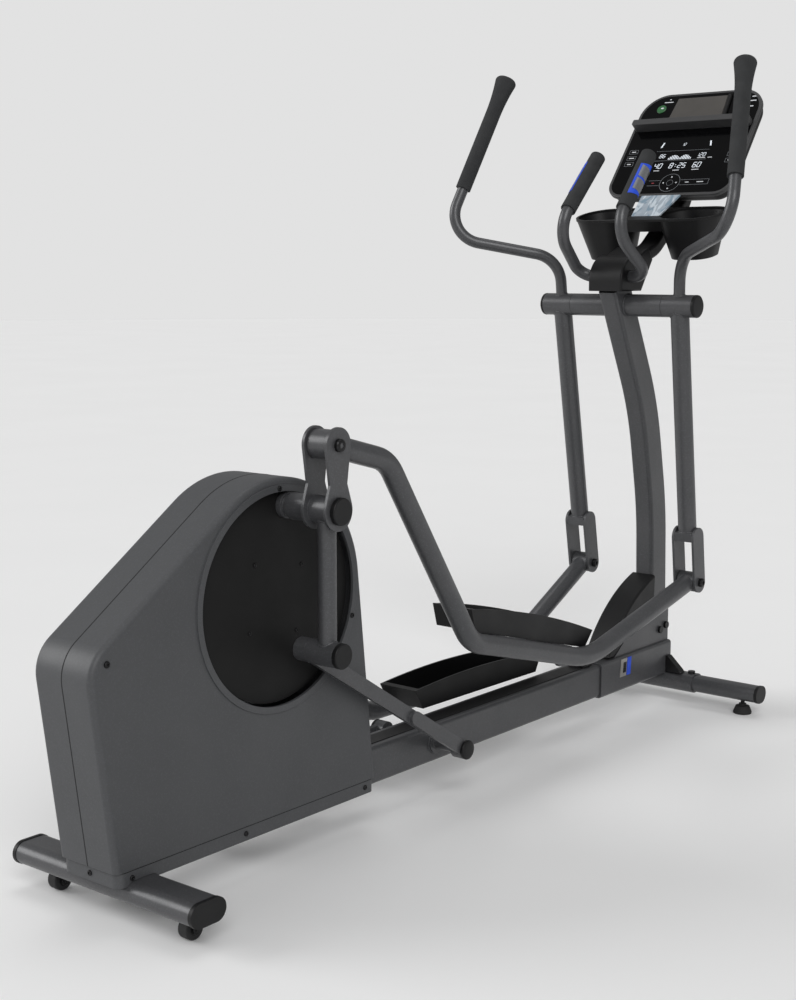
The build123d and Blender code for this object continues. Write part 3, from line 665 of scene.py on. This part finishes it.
def section(node, point, normal):
    """The longest loop of points where a plane cuts a CAD node."""
    cut = bmesh.new()
    cut.from_mesh(nodes[node].data)
    bmesh.ops.remove_doubles(cut, verts=cut.verts[:], dist=0.01 * MM)
    everything = cut.verts[:] + cut.edges[:] + cut.faces[:]
    made = bmesh.ops.bisect_plane(cut, geom=everything, plane_co=point, plane_no=normal)["geom_cut"]
    links = {}
    for edge in made:
        if isinstance(edge, bmesh.types.BMEdge):
            first, second = edge.verts
            links.setdefault(first, []).append(second)
            links.setdefault(second, []).append(first)
    loops = []
    while links:
        start = min(links, key=lambda vert: vert.index if vert.index >= 0 else 0)
        chain = [start]
        while True:
            following = [vert for vert in links.pop(chain[-1], []) if vert in links]
            if not following:
                break
            chain.append(following[0])
        loops.append([vert.co.copy() for vert in chain])
    cut.free()
    return max(loops, key=lambda loop: sum((b - a).length for a, b in zip(loop, loop[1:])))


def seam(shape, loop, normal, width, proud, closed=True):
    """A thin dark ribbon, width millimetres wide, that lies on the surface along a loop."""
    middle = sum(loop, Vector()) / len(loop)
    rows = []
    count = len(loop)
    for index, point in enumerate(loop):
        before = loop[index - 1] if closed or index else point
        after = loop[(index + 1) % count] if closed or index < count - 1 else point
        along = (after - before).normalized()
        outward = along.cross(normal).normalized()
        if outward.dot(point - middle) < 0:
            outward = -outward
        raised = point + outward * proud * MM
        rows.append(
            [
                shape.verts.new(raised - normal * width / 2 * MM),
                shape.verts.new(raised + normal * width / 2 * MM),
                shape.verts.new(point - outward * 0.3 * MM + normal * width / 2 * MM),
                shape.verts.new(point - outward * 0.3 * MM - normal * width / 2 * MM),
            ]
        )
    spans = zip(rows, rows[1:] + rows[:1]) if closed else zip(rows, rows[1:])
    for first, second in spans:
        for corner in range(4):
            other = (corner + 1) % 4
            shape.faces.new((first[corner], first[other], second[other], second[corner]))


def joint_place(name):
    """Where a joint's axis stands, at the middle of the machine."""
    place = Vector(joints[name]["pos_m"])
    place.x = 0
    return place


def node_middle(name):
    """The centre of a CAD node's box, at the middle of the machine."""
    place = sum(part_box(name), Vector()) / 2
    place.x = 0
    return place


def button_screw(shape, place, axis, radius):
    """A button-head screw with a hexagon socket, standing on place."""
    socket = 0.5 * radius
    turned(
        shape,
        place,
        axis,
        [
            (-0.5, radius),
            (0.25 * radius, radius),
            (0.5 * radius, 0.86 * radius),
            (0.62 * radius, 0.62 * radius),
            (0.62 * radius, socket, 1),
            (0.15 * radius, socket * 0.98, 1),
            (0.15 * radius, 0),
        ],
        steps=36,
    )


# ==== the machine's pieces ====


def shroud_seams():
    """The dark line between the two shroud halves, and the one between the shroud and its base."""
    shape = bmesh.new()
    seam(shape, section("shroud_right", Vector((0.6 * MM, 0, 0)), ACROSS), ACROSS, 2.0, 0.25)
    new_piece("shroud_centre_seam", shape, SEAM, "frame")
    base = bmesh.new()
    trim_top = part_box("base_trim")[1].z
    seam(base, section("base_trim", Vector((0, 0, trim_top - 0.4 * MM)), UP), UP, 2.4, 0.4)
    new_piece("shroud_base_seam", base, SEAM, "frame")


def shroud_screws():
    """Button screws on the shroud's rims and heel, and along its base."""
    axle = joint_place("crank_turn")
    side_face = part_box("shroud_right")[1].x
    ring_proud = 3  # the ring round the opening stands this far off the shroud's side
    ring_radius = 203
    heel_place = Vector((0, -409, -41))  # from the crank axle
    base_low, base_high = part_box("base_trim")
    base_z = (base_low.z + base_high.z) / 2
    shape = bmesh.new()
    for side in (-1, 1):
        axis = ACROSS * side
        for angle in (91, -18):
            rim = Vector((0, math.cos(math.radians(angle)), math.sin(math.radians(angle))))
            button_screw(shape, axle + rim * ring_radius * MM + axis * side_face, axis, 5.0)
        button_screw(shape, axle + heel_place * MM + axis * (side_face - ring_proud * MM), axis, 6.0)
        for y in (base_low.y + 30 * MM, base_low.y + 300 * MM, base_high.y - 30 * MM):
            button_screw(shape, Vector((side * base_high.x, y, base_z)), axis, 5.0)
    button_screw(shape, Vector((0, base_low.y, base_z)), -FORWARD, 5.0)
    piece = new_piece("shroud_button_screws", shape, OXIDE, "frame")
    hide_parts("shroud_screws")


def disc_screws(side_name, side):
    """Four small screws in a square on each crank disc."""
    axle = joint_place("crank_turn")
    disc_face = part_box("crank_discs")[1].x
    reach = 87 * MM
    shape = bmesh.new()
    for turn in range(4):
        angle = math.radians(38 + 90 * turn)
        place = axle + Vector((side * disc_face, reach * math.cos(angle), reach * math.sin(angle)))
        button_screw(shape, place, ACROSS * side, 4.0)
    new_piece(f"disc_screws_{side_name}", shape, OXIDE, "crank")


def lever_washers(side_name, side):
    """Black nylon washers either side of the lever's two sleeves."""
    shape = bmesh.new()
    rear = joint_place(f"pedal_lever_swing_{side_name}")
    front = node_middle(f"clevis_bolts_{side_name}")
    for centre, radius in ((rear, 25.5), (front, 22.5)):
        for out in (-1, 1):
            place = centre + ACROSS * side * (LEVER_X + out * SLEEVE_REACH) * MM
            turned(shape, place, ACROSS, [(-0.7, 7), (-0.7, radius), (0.7, radius), (0.7, 7), (-0.7, 7)])
    new_piece(f"lever_washers_{side_name}", shape, BLACK, f"pedal_lever_{side_name}")


def pivot_bolts(side_name, side):
    """Button heads on the ends of the bolt through the lever's rear sleeve."""
    shape = bmesh.new()
    centre = joint_place(f"pedal_lever_swing_{side_name}")
    for out in (1, -1):
        place = centre + ACROSS * side * (LEVER_X + out * PLATE_REACH) * MM
        turned(
            shape,
            place,
            ACROSS * side * out,
            [(0.1, 12), (5.5, 12), (7.6, 10.5), (8.2, 8), (8.2, 5.5, 1), (4, 5.4, 1), (4, 0)],
            steps=36,
        )
    new_piece(f"pivot_bolts_{side_name}", shape, OXIDE, f"stroke_link_{side_name}")


def clevis_bolt_heads(side_name, side):
    """Button heads over the clevis bolts."""
    shape = bmesh.new()
    low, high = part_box(f"clevis_bolts_{side_name}")
    centre = (low + high) / 2
    reach = (high.x - low.x) / 2
    for out in (-1, 1):
        turned(
            shape,
            centre + ACROSS * out * reach,
            ACROSS * out,
            [(-0.1, 11), (1.2, 11), (2.6, 9), (3, 7), (3, 5.5, 1), (0.2, 5.4, 1), (0.2, 0)],
            steps=36,
        )
    new_piece(f"clevis_bolt_heads_{side_name}", shape, OXIDE, f"swing_arm_{side_name}")


def arm_front_cap(side_name, side):
    """The black cap that closes the control arm's front boss."""
    shape = bmesh.new()
    place = node_middle("rail_studs") + ACROSS * side * ARM_FACE_X * MM
    profile = [(0.2, 19.6), (5, 20.4), (7, 19.4), (8.2, 16.5), (8.6, 9), (8.8, 0)]
    turned(shape, place, ACROSS * side, profile)
    new_piece(f"arm_front_cap_{side_name}", shape, BLACK, f"control_arm_{side_name}")


def hub_cap(side_name, side):
    """The black end cap of the swing arm's hub."""
    shape = bmesh.new()
    centre = joint_place(f"swing_arm_swing_{side_name}")
    place = centre + ACROSS * side * HUB_END_X * MM
    turned(shape, place, ACROSS * side, [(0.1, 25.8), (3, 26.8), (6, 26.2), (8, 23.5), (8.6, 15), (8.8, 0)])
    new_piece(f"hub_cap_{side_name}", shape, BLACK, f"swing_arm_{side_name}")


def linkage_welds(side_name, side):
    """Weld beads of one side's moving arms, painted with the tubes."""
    pin = joint_place(f"stroke_link_swing_{side_name}")
    guide = joint_place(f"control_arm_swing_{side_name}")
    hub = joint_place(f"swing_arm_swing_{side_name}")
    front = node_middle(f"clevis_bolts_{side_name}")
    lever = ACROSS * side * LEVER_X * MM
    down = (guide - pin).normalized()
    link = bmesh.new()
    bead(link, saddle_path(pin + lever, ACROSS, down, 25, 17), 1.8)
    bead(link, saddle_path(guide + lever, ACROSS, -down, 23.5, 17), 1.8)
    bead(link, circle_path(pin + ACROSS * side * 132.6 * MM, ACROSS, 25.4), 1.8)
    new_piece(f"link_welds_{side_name}", link, COAT, f"stroke_link_{side_name}")
    swing = bmesh.new()
    fall = (front - hub).normalized()
    bead(swing, saddle_path(hub + lever, ACROSS, fall, 26.5, 22), 1.8)
    bead(swing, saddle_path(hub + lever, ACROSS, -fall, 26.5, 13.5), 1.6)
    bead(swing, circle_path(front - fall * 127.5 * MM + lever, fall, 22.4), 1.8)
    new_piece(f"swing_welds_{side_name}", swing, COAT, f"swing_arm_{side_name}")


def frame_welds():
    """Weld beads of the fixed frame."""
    shape = bmesh.new()
    bar = joint_place("swing_arm_swing_right")
    studs = node_middle("rail_studs")
    for side in (-1, 1):
        bead(shape, circle_path(bar + ACROSS * side * 25.6 * MM, ACROSS, 26.8), 1.9)
        bead(shape, circle_path(studs + ACROSS * side * 37.4 * MM, ACROSS, 22.3), 1.8)
        bead(shape, circle_path(studs + ACROSS * side * 43.2 * MM, ACROSS, 12.4), 1.5)
    new_piece("frame_welds", shape, COAT, "frame")


def frame_badge():
    """A plain badge on each side of the front frame: a silver tile with a black step, and a blue bar."""
    sleeve_x = 41 * MM
    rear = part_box("front_frame")[0].y
    for side_name, side in SIDES:
        right = FORWARD * side
        origin = Vector((side * sleeve_x, rear + 110 * MM, 128 * MM))
        place = on_face(origin, right, UP)
        silver = bmesh.new()
        tile = [(-26 * side, -22), (2 * side, -22), (6 * side, 22), (-22 * side, 22)]
        slab(silver, place, tile, 0, 1.4, 0.4)
        new_piece(f"badge_tile_{side_name}", silver, SILVER, "frame")
        blue = bmesh.new()
        bar = [(5 * side, -22), (22 * side, -22), (26 * side, 22), (9 * side, 22)]
        slab(blue, place, bar, 0, 1.4, 0.4)
        new_piece(f"badge_bar_{side_name}", blue, BLUE, "frame")
        step = bmesh.new()
        mark = [(-14 * side, -13), (0, -13), (3 * side, 13), (-11 * side, 13)]
        slab(step, place, mark, 1.3, 1.7, 0.1)
        new_piece(f"badge_step_{side_name}", step, BADGE_BLACK, "frame")


def rail_top_strip():
    """The dark anti-slip strip along the top of the rail, with its small end block."""
    rail_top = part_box("main_rail")[1].z
    place = on_face(Vector((0, 0, rail_top)), ACROSS, FORWARD)
    shroud_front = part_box("shroud_right")[1].y / MM
    start = shroud_front + 20
    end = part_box("front_frame")[0].y / MM - 6
    strip = bmesh.new()
    slab(strip, place, rounded_box(0, (start + end) / 2, 40, end - start, 6), 0, 1.2, 0.5)
    new_piece("rail_strip", strip, BLACK, "frame")
    block = bmesh.new()
    slab(block, place, rounded_box(0, end - 30, 46, 34, 8), 1.0, 9, 2.5)
    new_piece("rail_stop_block", block, BLACK, "frame")


def grip_bezels():
    """The blue surrounds of the pulse contacts, wrapped round the fixed grips."""
    for side_name, side in SIDES:
        start, way, outward = grip_frame(side)
        shape = bmesh.new()
        wrap_patch(shape, start, way, outward, 40, 134, 62, 19.3)
        new_piece(f"contact_surround_{side_name}", shape, BLUE, "frame")


def grip_frame(side):
    """The base, direction and palm side of a fixed grip, from its two flat ends."""
    points = [vert.co for vert in nodes["fixed_grips"].data.vertices if vert.co.x * side > 0]
    way = (FORWARD + UP).normalized()
    for reach in (20, 6, 2, 0.5):
        along = [point.dot(way) for point in points]
        bottom = [point for point, place in zip(points, along) if place < min(along) + reach * MM]
        top = [point for point, place in zip(points, along) if place > max(along) - reach * MM]
        base = sum(bottom, Vector()) / len(bottom)
        way = (sum(top, Vector()) / len(top) - base).normalized()
    angle = math.radians(PALM_ANGLE)
    palm = Vector((side * math.cos(angle), -math.sin(angle), 0))
    palm = (palm - way * palm.dot(way)).normalized()
    return base, way, palm


def wrap_patch(shape, start, way, outward, low, high, half_angle, radius, steps=16):
    """A curved patch round a bar, from low to high along it."""
    side = way.cross(outward)
    rows = []
    for layer_radius in (radius, radius - 0.9):
        for along in (low, high):
            row = []
            for step in range(steps + 1):
                angle = math.radians(half_angle * (2 * step / steps - 1))
                slant = 8 * math.sin(angle)
                row.append(
                    shape.verts.new(
                        start
                        + way * (along + slant) * MM
                        + (outward * math.cos(angle) + side * math.sin(angle)) * layer_radius * MM
                    )
                )
            rows.append(row)
    top_low, top_high, under_low, under_high = rows
    for step in range(steps):
        shape.faces.new((top_low[step], top_low[step + 1], top_high[step + 1], top_high[step]))
        shape.faces.new((under_low[step], under_high[step], under_high[step + 1], under_low[step + 1]))
        shape.faces.new((top_low[step], under_low[step], under_low[step + 1], top_low[step + 1]))
        shape.faces.new((top_high[step], top_high[step + 1], under_high[step + 1], under_high[step]))
    for step in (0, steps):
        shape.faces.new((top_low[step], top_high[step], under_high[step], under_low[step]))


# ==== console ====

SEGMENTS = {
    "0": "abcdef",
    "1": "bc",
    "2": "abged",
    "3": "abgcd",
    "4": "fgbc",
    "5": "afgcd",
    "6": "afgedc",
    "7": "abc",
    "8": "abcdefg",
    "9": "abcdfg",
}
INK_THICK = 0.15


def readout(shape, place, text, u, v, height):
    """Seven-segment digits centred on (u, v), slanted as on a real display."""
    width = 0.55 * height
    pitch = 0.8 * height
    thick = 0.13 * height
    start = u - pitch * (len(text) - 1) / 2
    for index, letter in enumerate(text):
        middle = start + pitch * index
        if letter == ":":
            for up in (-0.2, 0.2):
                slab(shape, place, rounded_box(middle, v + up * height, thick, thick, 0.3), 0, INK_THICK)
            continue
        half_w, half_h = width / 2, height / 2
        bars = {
            "a": (0, half_h, width, thick),
            "g": (0, 0, width, thick),
            "d": (0, -half_h, width, thick),
            "b": (half_w, half_h / 2, thick, half_h),
            "c": (half_w, -half_h / 2, thick, half_h),
            "f": (-half_w, half_h / 2, thick, half_h),
            "e": (-half_w, -half_h / 2, thick, half_h),
        }
        for name in SEGMENTS[letter]:
            du, dv, wide, tall = bars[name]
            outline = [
                (middle + du + cu + 0.16 * (dv + cv), v + dv + cv)
                for cu, cv in rounded_box(0, 0, wide * 0.9, tall * 0.9, thick * 0.4, 2)
            ]
            slab(shape, place, outline, 0, INK_THICK)


def console_graphics():
    """Generic markings of the display: digits, a bar graph, a ring of keys and short label strokes."""
    place = flat_face("display_panel", CONSOLE_FACING, ACROSS)[0]
    lit = bmesh.new()
    readout(lit, place, "12", -3, -4, 8)
    readout(lit, place, "86", -52, -40, 11)
    readout(lit, place, "120", 57, -40, 11)
    readout(lit, place, "40", -53, -72, 15)
    readout(lit, place, "8:25", 2, -72, 15)
    readout(lit, place, "60", 56, -72, 15)
    for column in range(15):
        u = -32 + 4.4 * column
        tall = 5 + 9 * abs(math.sin(0.45 * column))
        slab(lit, place, rounded_box(u, -52 + tall / 2, 2.4, tall, 0.4, 2), 0, INK_THICK)
    for u, lean in ((-66, 1), (73, -1)):
        stroke = [(u - 2, -12), (u + 2, -12), (u + 2 + 4 * lean, 4), (u - 2 + 4 * lean, 4)]
        slab(lit, place, stroke, 0, INK_THICK)
    new_piece("console_readouts", lit, LIT, "frame")

    fine = bmesh.new()
    ring_outline(fine, place, 0, -127, 28, 27, 0, INK_THICK)
    ring_outline(fine, place, 0, -127, 9, 8.2, 0, INK_THICK)
    for u, v, wide in ((-45, -119, 34), (-45, -135, 34), (68, -119, 78), (68, -135, 78)):
        slab(fine, place, rounded_box(u, v, wide, 0.9, 0.3, 2), 0, INK_THICK)
    slab(fine, place, rounded_box(107, -127, 0.9, 16, 0.3, 2), 0, INK_THICK)
    slab(fine, place, rounded_box(0, -55, 150, 0.9, 0.3, 2), 0, INK_THICK)
    slab(fine, place, rounded_box(0, -24, 150, 0.7, 0.3, 2), 0, INK_THICK)
    key_edges = ((0, 6, 24, 0.8), (0, -6, 24, 0.8), (-12, 0, 0.8, 12), (12, 0, 0.8, 12))
    for side in (-1, 1):
        for v in (-22, -42, -62):
            for du, dv, wide, tall in key_edges:
                slab(fine, place, rounded_box(side * 142 + du, v + dv, wide, tall, 0.3, 2), 0, INK_THICK)
    new_piece("console_outlines", fine, DIM_INK, "frame")

    ink = bmesh.new()
    for side in (-1, 1):
        for v, wide in ((-22, 12), (-42, 15), (-62, 11)):
            slab(ink, place, rounded_box(side * 142, v, wide, 2.6, 0.6, 2), 0, INK_THICK)
    for u, v, wide in ((-53, -87, 16), (2, -87, 18), (56, -87, 20), (60, -50, 22), (84, -50, 12)):
        slab(ink, place, rounded_box(u, v, wide, 2.2, 0.5, 2), 0, INK_THICK)
    for turn in range(4):
        angle = math.pi / 2 * turn
        key = (18 * math.cos(angle), -127 + 18 * math.sin(angle))
        slab(ink, place, rounded_box(*key, 4, 4, 1.8, 4), 0, INK_THICK)
    for u, v, wide in ((48, -127, 10), (84, -127, 18), (-98, 150, 5), (-100, 141, 26), (-132, 78, 30)):
        slab(ink, place, rounded_box(u, v, wide, 2.4, 0.6, 2), 0, INK_THICK)
    for v, wide in ((142, 14), (128, 17), (110, 12)):
        slab(ink, place, rounded_box(142, v, wide, 3, 0.8, 2), 0, INK_THICK)
    new_piece("console_labels", ink, INK, "frame")

    red = bmesh.new()
    slab(red, place, rounded_box(-48, -127, 7, 3, 1, 2), 0, INK_THICK)
    slab(red, place, rounded_box(-118, 78, 6, 2.4, 0.8, 2), INK_THICK, 2 * INK_THICK)
    new_piece("console_stop_marks", red, red_ink(), "frame")

    key = bmesh.new()
    centre = place(-113, 118)
    out = (place(0, 0, 1) - place(0, 0, 0)).normalized()
    turned(key, centre, out, [(-0.2, 13), (1.6, 13), (2.4, 12), (2.6, 9), (2.2, 6), (2.2, 0)])
    new_piece("start_key", key, green_key(), "frame")
    swirl = bmesh.new()
    slab(swirl, place, rounded_box(-111, 120, 8, 5, 2.4, 4), 2.0, 2.7, 0.2)
    new_piece("start_key_mark", swirl, INK, "frame")


def tablet_rack():
    """The smoked panel that a tablet leans on above the ledge, with its raised frame."""
    place = flat_face("display_panel", CONSOLE_FACING, ACROSS)[0]
    plate = bmesh.new()
    slab(plate, place, [(-82, 66), (72, 66), (66, 150), (-74, 150)], -0.2, 2.2, 0.8)
    new_piece("rack_panel", plate, smoked_panel(), "frame")
    band = bmesh.new()
    slab(band, place, [(-82, 66), (72, 66), (71, 78), (-81, 78)], 2.0, 4.0, 0.8)
    new_piece("rack_band", band, GREY, "frame")
    rib = bmesh.new()
    slab(rib, place, [(74, 66), (84, 66), (78, 152), (68, 152)], -0.2, 6.0, 1.5)
    new_piece("rack_side_rib", rib, BLACK, "frame")


def console_jack():
    """The small round boss on the console's left edge, for a headphone lead."""
    place, half = flat_face("display_panel", CONSOLE_FACING, ACROSS)
    centre = place(-half[0] - 2, -30, -16)
    shape = bmesh.new()
    turned(shape, centre, -ACROSS, [(-6, 9), (8, 9), (11, 8), (11.5, 4), (6, 3.4), (6, 0)])
    new_piece("headphone_boss", shape, BLACK, "frame")


def back_screws():
    """Screws in the back of the console."""
    place, half = flat_face("console_back", -CONSOLE_FACING, -ACROSS)
    shape = bmesh.new()
    out = (place(0, 0, 1) - place(0, 0, 0)).normalized()
    for u in (-0.82, 0.82):
        for v in (-0.8, 0.0, 0.8):
            button_screw(shape, place(u * half[0], v * half[1]), out, 4.2)
    new_piece("console_back_screws", shape, OXIDE, "frame")


# ==== pedals, grips and wheels ====


def pedal_tread(side_name, side):
    """Raised ribs of the footplate: long ribs, with slanted bars between them in the middle."""
    place, half = flat_face(f"pedal_{side_name}", UP, ACROSS)
    shape = bmesh.new()
    wide, long = half
    for column in range(5):
        u = -wide + 10 + (2 * wide - 20) * column / 4
        slab(shape, place, rounded_box(u, 0, 3.2, 2 * long - 26, 1.5, 3), -0.3, 2.0, 0.7)
    rows = 13
    for row in range(rows):
        v = -long + 34 + (2 * long - 68) * row / (rows - 1)
        for column in range(4):
            u = -wide + 10 + (2 * wide - 20) * (column + 0.5) / 4
            lean = 3.5 if column % 2 else -3.5
            left, right = v - lean, v + lean
            outline = [(u - 7, left - 1.3), (u + 7, right - 1.3), (u + 7, right + 1.3), (u - 7, left + 1.3)]
            slab(shape, place, outline, -0.3, 1.5, 0.5)
    new_piece(f"pedal_tread_{side_name}", shape, RUBBER, f"pedal_lever_{side_name}")


def wheel_hubs(side_name, side):
    """The hub caps of a transport wheel."""
    low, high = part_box(f"rear_wheel_{side_name}")
    centre = (low + high) / 2
    shape = bmesh.new()
    for out in (-1, 1):
        face = centre + ACROSS * out * (high.x - low.x) / 2
        turned(shape, face, ACROSS * out, [(-0.2, 12), (0.6, 12), (0.9, 11), (0.9, 6), (-0.2, 6)])
    new_piece(f"wheel_hub_{side_name}", shape, OXIDE, f"rear_wheel_{side_name}")


# ==== stage ====


def studio():
    """A pale floor, a soft white world and three broad lights."""
    shape = bmesh.new()
    turned(shape, Vector((0, 0, -0.2 * MM)), UP, [(0, 0), (0, 30000)], steps=96)
    mesh = bpy.data.meshes.new("floor")
    shape.to_mesh(mesh)
    shape.free()
    mesh.materials.append(pale_floor())
    floor = bpy.data.objects.new("floor", mesh)
    bpy.context.scene.collection.objects.link(floor)
    world = bpy.data.worlds.new("studio_world")
    bpy.context.scene.world = world
    world.use_nodes = True
    sky = world.node_tree.nodes["Background"]
    sky.inputs["Color"].default_value = linear("#ffffff")
    seen = add(world.node_tree, "ShaderNodeLightPath")
    strength = add(
        world.node_tree,
        "ShaderNodeMapRange",
        {"To Min": 0.32, "To Max": 0.76},
        {"Value": seen.outputs["Is Camera Ray"]},
    )
    world.node_tree.links.new(strength.outputs["Result"], sky.inputs["Strength"])
    for name, toward, power in (
        ("rear_right_light", (0.62, -0.55, 0.6), 1.45),
        ("left_light", (-0.8, -0.5, 0.42), 1.35),
        ("top_light", (-0.1, 0.2, 1.0), 0.4),
    ):
        lamp = bpy.data.lights.new(name, "SUN")
        lamp.energy = power
        lamp.angle = math.radians(34)
        light = bpy.data.objects.new(name, lamp)
        light.rotation_euler = (-Vector(toward)).to_track_quat("-Z", "Y").to_euler()
        bpy.context.scene.collection.objects.link(light)


def camera():
    """A camera to the right of and behind the machine, a little above it, looking slightly down."""
    lens = bpy.data.cameras.new("camera")
    lens.lens = 57.26
    lens.sensor_width = 36
    lens.clip_end = 200
    view = bpy.data.objects.new("camera", lens)
    down, left = 0.1468, 0.6854
    view.location = (2.0235, joint_place("crank_turn").y - 2.0503, 1.1077)
    view.rotation_euler = (math.pi / 2 - down, 0, left)
    bpy.context.scene.collection.objects.link(view)
    bpy.context.scene.camera = view


finish_cad_nodes()
shroud_seams()
shroud_screws()
frame_welds()
frame_badge()
rail_top_strip()
grip_bezels()
console_graphics()
tablet_rack()
console_jack()
back_screws()
for side_name, side in SIDES:
    disc_screws(side_name, side)
    lever_washers(side_name, side)
    pivot_bolts(side_name, side)
    clevis_bolt_heads(side_name, side)
    arm_front_cap(side_name, side)
    hub_cap(side_name, side)
    linkage_welds(side_name, side)
    pedal_tread(side_name, side)
    wheel_hubs(side_name, side)
studio()
camera()
bpy.context.scene.view_settings.view_transform = "Standard"
